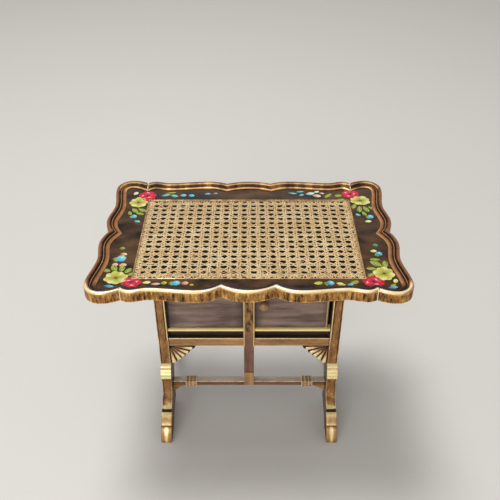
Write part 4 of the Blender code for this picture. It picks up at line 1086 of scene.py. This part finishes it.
# Flower painting: sprays of folk flowers in each corner of the lacquered border and single strokes
# along its edges, laid on with a round brush in thick oil colours and varnished over.
MM = 0.001
PAINT_SWELL = 0.00012
LAYER_RISE = 0.00012
BLUNT_TIP = 0.07
TIP_FULLNESS = 0.7
PAINT_RELIEF = 0.00008
BLEND_LENGTH = 1.1
BLEND_SLANT = 0.25
ROSE_DEEP = paint(146, 2, 32)
ROSE_RED = paint(226, 14, 58)
ROSE_PINK = paint(240, 60, 98)
PALE_PINK = paint(250, 222, 226)
YELLOW = paint(214, 208, 84)
PALE_YELLOW = paint(242, 238, 168)
OLIVE = paint(112, 118, 34)
DULL_YELLOW = paint(172, 168, 58)
LEAF_DARK = paint(84, 98, 22)
LEAF_LIGHT = paint(172, 192, 62)
BLUE = paint(46, 166, 208)
PALE_BLUE = paint(112, 208, 228)
DEEP_BLUE = paint(30, 78, 134)
TURQUOISE = paint(70, 172, 160)
PALE_TURQUOISE = paint(150, 216, 200)
BEIGE = paint(196, 140, 112)
PALE_BEIGE = paint(238, 208, 186)
ORANGE = paint(184, 92, 40)
CREAM = paint(248, 236, 190)

# Each row is a place in millimetres and a turn in degrees, then a length and a width in millimetres,
# or for the round flowers a size and how much wider than deep they are.
ROSES = ((-227, 146, 10, 40, 1.0), (228, 154, 70, 37, 1.05), (-221, -159, 200, 31, 1.28),
         (235, -157, 120, 33, 1.30))
BLOSSOMS = ((-244, 119, 5, 40, 1.0), (246, 127, 20, 37, 1.2), (-252, -146, 12, 38, 1.15),
            (258, -133, 30, 40, 1.0))
LEAVES = (
    (-252, 96, -62, 20, 11), (-240, 96, -42, 22, 11), (-244, 80, -30, 20, 9), (-258, 84, -80, 15, 8),
    (252, 104, -75, 24, 11), (262, 104, -50, 18, 9), (244, 104, -105, 24, 11), (236, 112, -125, 20, 10),
    (247, 84, -80, 18, 9), (212, 132, 200, 18, 11), (208, 146, 165, 16, 11), (-256, -126, 110, 20, 12),
    (-246, -127, 80, 19, 11), (-266, -127, 150, 16, 10), (-238, -130, 45, 18, 11), (-232, -137, 20, 14, 8),
    (-250, -112, 60, 13, 8), (246, -120, 165, 20, 10), (242, -134, 195, 17, 9), (256, -112, 130, 27, 14),
    (262, -116, 78, 24, 11), (257, -90, 170, 20, 8), (168, 140, 40, 24, 10), (190, -161.5, 15, 18, 10),
    (264, -169.5, 10, 12, 8))
BUDS = (
    (-254, 60, 25, 15, 14, BLUE, PALE_BLUE), (-264, -90, 20, 24, 20, BLUE, PALE_TURQUOISE),
    (252, 58, 30, 16, 14, BLUE, PALE_BLUE), (251, -76, 40, 16, 14, DEEP_BLUE, PALE_BLUE),
    (-148, -163.5, 10, 20, 14, BLUE, PALE_BLUE), (143, -164.5, 15, 18, 14, DEEP_BLUE, PALE_BLUE))
STROKES = (
    (-244, 47, -15, 14, 8, TURQUOISE, PALE_TURQUOISE), (-258, 151, 60, 14, 10, PALE_BEIGE, CREAM),
    (-196, 146, 20, 20, 8, TURQUOISE, PALE_TURQUOISE), (-178, 150, -10, 18, 7, TURQUOISE, PALE_TURQUOISE),
    (-190, 157, 10, 26, 5, OLIVE, YELLOW), (-172, 143, 12, 14, 6, TURQUOISE, PALE_TURQUOISE),
    (-155, 148, 8, 15, 11, BLUE, PALE_TURQUOISE), (-136, 149, -6, 14, 11, BLUE, PALE_BLUE),
    (-100, 154, 12, 14, 7, BLUE, PALE_BLUE), (-80, 157, 5, 9, 5, TURQUOISE, PALE_BLUE),
    (88, 160, -12, 20, 6, TURQUOISE, PALE_TURQUOISE), (106, 163, 8, 18, 6, BLUE, PALE_BLUE),
    (112, 148, 24, 12, 7, TURQUOISE, PALE_TURQUOISE), (128, 154, 14, 20, 11, PALE_BLUE, CREAM),
    (142, 150, -16, 20, 11, BEIGE, CREAM), (146, 160, 30, 14, 8, PALE_BLUE, CREAM),
    (158, 160, -20, 12, 6, BEIGE, PALE_PINK), (240, 66, 140, 13, 7, TURQUOISE, PALE_TURQUOISE),
    (246, 44, 10, 14, 9, YELLOW, CREAM), (-266, -106, 10, 12, 11, BEIGE, PALE_BEIGE),
    (-252, -107, 6, 15, 11, BEIGE, PALE_BEIGE), (-255, -70, -8, 14, 9, ORANGE, CREAM),
    (-260, -53, 12, 12, 9, LEAF_DARK, LEAF_LIGHT), (-272, -169.5, -6, 20, 8, DEEP_BLUE, PALE_BLUE),
    (-256, -173.5, 4, 16, 6, DEEP_BLUE, BLUE), (-200, -160.5, 8, 16, 8, YELLOW, CREAM),
    (-184, -164.5, 4, 18, 7, BEIGE, PALE_BEIGE), (-166, -163.5, 20, 13, 9, OLIVE, YELLOW),
    (-127, -163.5, 14, 14, 10, ORANGE, PALE_BEIGE), (-112, -165.5, -10, 9, 5, ORANGE, YELLOW),
    (122, -162.5, 8, 17, 9, YELLOW, LEAF_LIGHT), (164, -161.5, -12, 14, 7, YELLOW, CREAM),
    (166, -168.5, 10, 16, 6, OLIVE, YELLOW), (184, -166.5, 6, 12, 6, BLUE, PALE_BLUE),
    (258, -175.5, 8, 20, 7, DEEP_BLUE, PALE_BLUE), (274, -161.5, 70, 13, 9, YELLOW, CREAM),
    (242, -61, 6, 13, 9, YELLOW, PALE_YELLOW), (249, -43, 20, 12, 10, LEAF_DARK, TURQUOISE))
brush = random.Random(11)
painting = bmesh.new()
paint_colour = painting.verts.layers.float_color.new("paint")
paint_along, paint_across, paint_tint = strand_layers(painting)


def brush_stroke(heel, turn, length, width, near, far, layer=2, belly=0.55, bend=0.0):
    """Lay one stroke from its heel along a turn in degrees, swollen at the belly and bent to one side."""
    stroke = bmesh.ops.create_grid(painting, x_segments=8, y_segments=4, size=0.5)["verts"]
    forwards = Vector((math.cos(math.radians(turn)), math.sin(math.radians(turn))))
    sideways = Vector((-forwards.y, forwards.x))
    power = math.log(0.5) / math.log(belly)
    tint = brush.random()
    for vert in stroke:
        share = vert.co.x + 0.5
        across = vert.co.y * 2.0
        fullness = max(0.0, math.sin(math.pi * share ** power)) ** TIP_FULLNESS
        swell = BLUNT_TIP + (1.0 - BLUNT_TIP) * fullness
        bow = bend * length * 4.0 * share * (1.0 - share)
        flat = Vector(heel) + forwards * length * share + sideways * (across * swell * width / 2 + bow)
        height = board_top + layer * LAYER_RISE + PAINT_SWELL * swell * (1.0 - across ** 2)
        vert.co = (flat.x, flat.y, height)
        blend = min(1.0, max(0.0, (share - 0.5) * BLEND_LENGTH + 0.5 + BLEND_SLANT * across))
        vert[paint_colour] = [a + (b - a) * blend for a, b in zip(near, far)]
        vert[paint_along] = share * length
        vert[paint_across] = across
        vert[paint_tint] = tint
    return stroke


def around(place, turn, reach):
    """A place that lies at a reach from another, along a turn in degrees."""
    angle = math.radians(turn)
    return (place[0] + reach * math.cos(angle), place[1] + reach * math.sin(angle))


def widen(verts, place, wide):
    """Stretch a flower along the tray about its middle."""
    to_middle = Matrix.Translation((-place[0], -place[1], 0.0))
    bmesh.ops.scale(painting, verts=verts, vec=(wide, 1.0, 1.0), space=to_middle)


def ring(place, turn, size, count, shares, colours, layers, belly=0.55, lean=0, bend=0.0):
    """Strokes all round a flower, with their start, length and width as shares of its size."""
    start, length, width = [size * share for share in shares]
    verts = []
    for i in range(count):
        angle = turn + i * 360 / count
        verts += brush_stroke(around(place, angle, start), angle + lean, length, width, *colours,
                              layers[i % len(layers)], belly, bend)
    return verts


def rose(place, turn, size, wide):
    """Round petals in rings, deep red at the heart and paler at their edges, with a few light touches."""
    verts = ring(place, turn, size, 7, (0.06, 0.44, 0.44), (ROSE_DEEP, ROSE_RED), (4, 5), 0.64)
    verts += ring(place, turn + 20, size, 5, (0.02, 0.30, 0.30), (ROSE_DEEP, ROSE_PINK), (6, 7), 0.66)
    verts += ring(place, turn, size, 3, (0.10, 0.20, 0.07), (ROSE_DEEP, ROSE_RED), (8,), 0.5, 80, 0.25)
    for angle, reach, length in ((60, 0.30, 0.26), (150, 0.26, 0.22), (265, 0.18, 0.24)):
        verts += brush_stroke(around(place, turn + angle, size * reach), turn + angle + 70, size * length,
                              size * 0.09, PALE_PINK, ROSE_PINK, 9, 0.45, 0.22)
    widen(verts, place, wide)


def blossom(place, turn, size, wide):
    """Yellow petals with shaded roots and pale edges round an olive eye of small dots."""
    verts = []
    for petal in range(8):
        angle = turn + petal * 45 + brush.uniform(-6, 6)
        reach = size * brush.uniform(0.38, 0.45)
        verts += brush_stroke(around(place, angle, size * 0.07), angle, reach, size * 0.41, DULL_YELLOW,
                              PALE_YELLOW if petal % 2 else YELLOW, 3 + petal % 3, 0.66)
        verts += brush_stroke(around(place, angle + 22, size * 0.10), angle + 22, reach * 0.5, size * 0.035,
                              OLIVE, YELLOW, 6, 0.4)
        tip = around(around(place, angle, size * 0.03 + reach), angle - 90, size * 0.13)
        verts += brush_stroke(tip, angle + 90, size * 0.26, size * 0.06, YELLOW, CREAM, 7, 0.5, -0.12)
    verts += ring(place, turn, size, 6, (0.07, 0.08, 0.07), (OLIVE, YELLOW), (7,))
    verts += brush_stroke(around(place, 180, size * 0.07), 0, size * 0.14, size * 0.13, LEAF_DARK, OLIVE, 7)
    widen(verts, place, wide)


def leaf(place, turn, length, width):
    """Two strokes side by side, one dark and one light, with a fine pale vein between them."""
    for side, near, far, layer in ((90, LEAF_DARK, LEAF_LIGHT, 1), (-90, LEAF_LIGHT, LEAF_DARK, 2)):
        heel = around(place, turn + side, width * 0.16)
        brush_stroke(heel, turn, length, width * 0.66, near, far, layer)
    brush_stroke(place, turn, length * 0.9, width * 0.10, LEAF_LIGHT, CREAM, 3)


def bud(place, turn, length, width, near, far):
    """A closed bud with a light tip, held by two small green sepals."""
    brush_stroke(place, turn, length, width, near, far, 3, 0.6)
    tip = around(place, turn, length * 0.52)
    brush_stroke(tip, turn + 25, length * 0.34, width * 0.26, PALE_BLUE, CREAM, 4)
    heel = around(place, turn + 180, length * 0.10)
    for lean in (40, -40):
        brush_stroke(heel, turn + lean, length * 0.42, width * 0.24, LEAF_DARK, LEAF_LIGHT, 4)


for flower, rows in ((rose, ROSES), (blossom, BLOSSOMS)):
    for x, y, turn, size, wide in rows:
        flower((x * MM, y * MM), turn, size * MM, wide)
for mark, rows in ((leaf, LEAVES), (bud, BUDS), (brush_stroke, STROKES)):
    for x, y, turn, length, width, *colours in rows:
        mark((x * MM, y * MM), turn, length * MM, width * MM, *colours)

oil_paint, oil_tree, oil_shader = new_material("oil_paint")
bristle = noise(strand_place(oil_tree, (70.0, 4.0, 70.0)), 1.0, 4.0, 0.6)
oil_colour = mix_colours(spread(bristle, 0.30, 0.62, 0.30, 0.0), point_value(oil_tree, "paint", "Color"),
                         paint(40, 30, 18))
feed(oil_shader, {"Base Color": mix_colours(spread(bristle, 0.58, 0.78, 0.0, 0.2), oil_colour, CREAM),
                  "Roughness": spread(bristle, 0.3, 0.7, 0.45, 0.28), "Specular IOR Level": 0.25,
                  "Coat Weight": 0.06, "Coat Roughness": 0.2})
raise_surface(oil_shader, bristle, PAINT_RELIEF)
bmesh.ops.recalc_face_normals(painting, faces=painting.faces[:])
add_piece("painted_flowers", painting, oil_paint, "tray", sharp_angle=60.0)


# Floor and light: a plain pale studio floor under a large soft lamp high behind the table, with a
# weaker one in front and a narrow window strip behind the tray.
FLOOR_SIZE = 12.0
studio_floor = bmesh.new()
bmesh.ops.create_grid(studio_floor, x_segments=1, y_segments=1, size=FLOOR_SIZE / 2)
floor_mesh = bpy.data.meshes.new("studio_floor")
studio_floor.to_mesh(floor_mesh)
studio_floor.free()
floor_material, _, floor_shader = new_material("pale_floor")
feed(floor_shader, {"Base Color": paint(214, 211, 206), "Roughness": 0.6})
floor_mesh.materials.append(floor_material)
add_object("studio_floor", floor_mesh)


def soft_lamp(name, place, aim, size, watts):
    """Hang a rectangular lamp that is turned to its aim."""
    lamp_data = bpy.data.lights.new(name, "AREA")
    lamp_data.shape = "RECTANGLE"
    lamp_data.size, lamp_data.size_y = size
    lamp_data.energy = watts
    lamp = add_object(name, lamp_data)
    lamp.location = place
    lamp.rotation_euler = (Vector(aim) - Vector(place)).to_track_quat("-Z", "Y").to_euler()


soft_lamp("key_softbox", (-0.8, 1.2, 5.0), (0.0, 0.0, 0.3), (1.7, 1.7), 150.0)
soft_lamp("front_softbox", (-0.7, -2.5, 1.25), (0.0, 0.0, 0.3), (2.0, 1.4), 33.0)
soft_lamp("window_strip", (0.1, 1.6, 1.33), (0.0, 0.1, 0.46), (1.4, 0.22), 1.0)
world = bpy.data.worlds.new("studio")
world.use_nodes = True
feed(world.node_tree.nodes["Background"], {"Color": (1.0, 0.98, 0.95, 1.0), "Strength": 0.40})
bpy.context.scene.world = world
bpy.context.scene.view_settings.view_transform = "Standard"
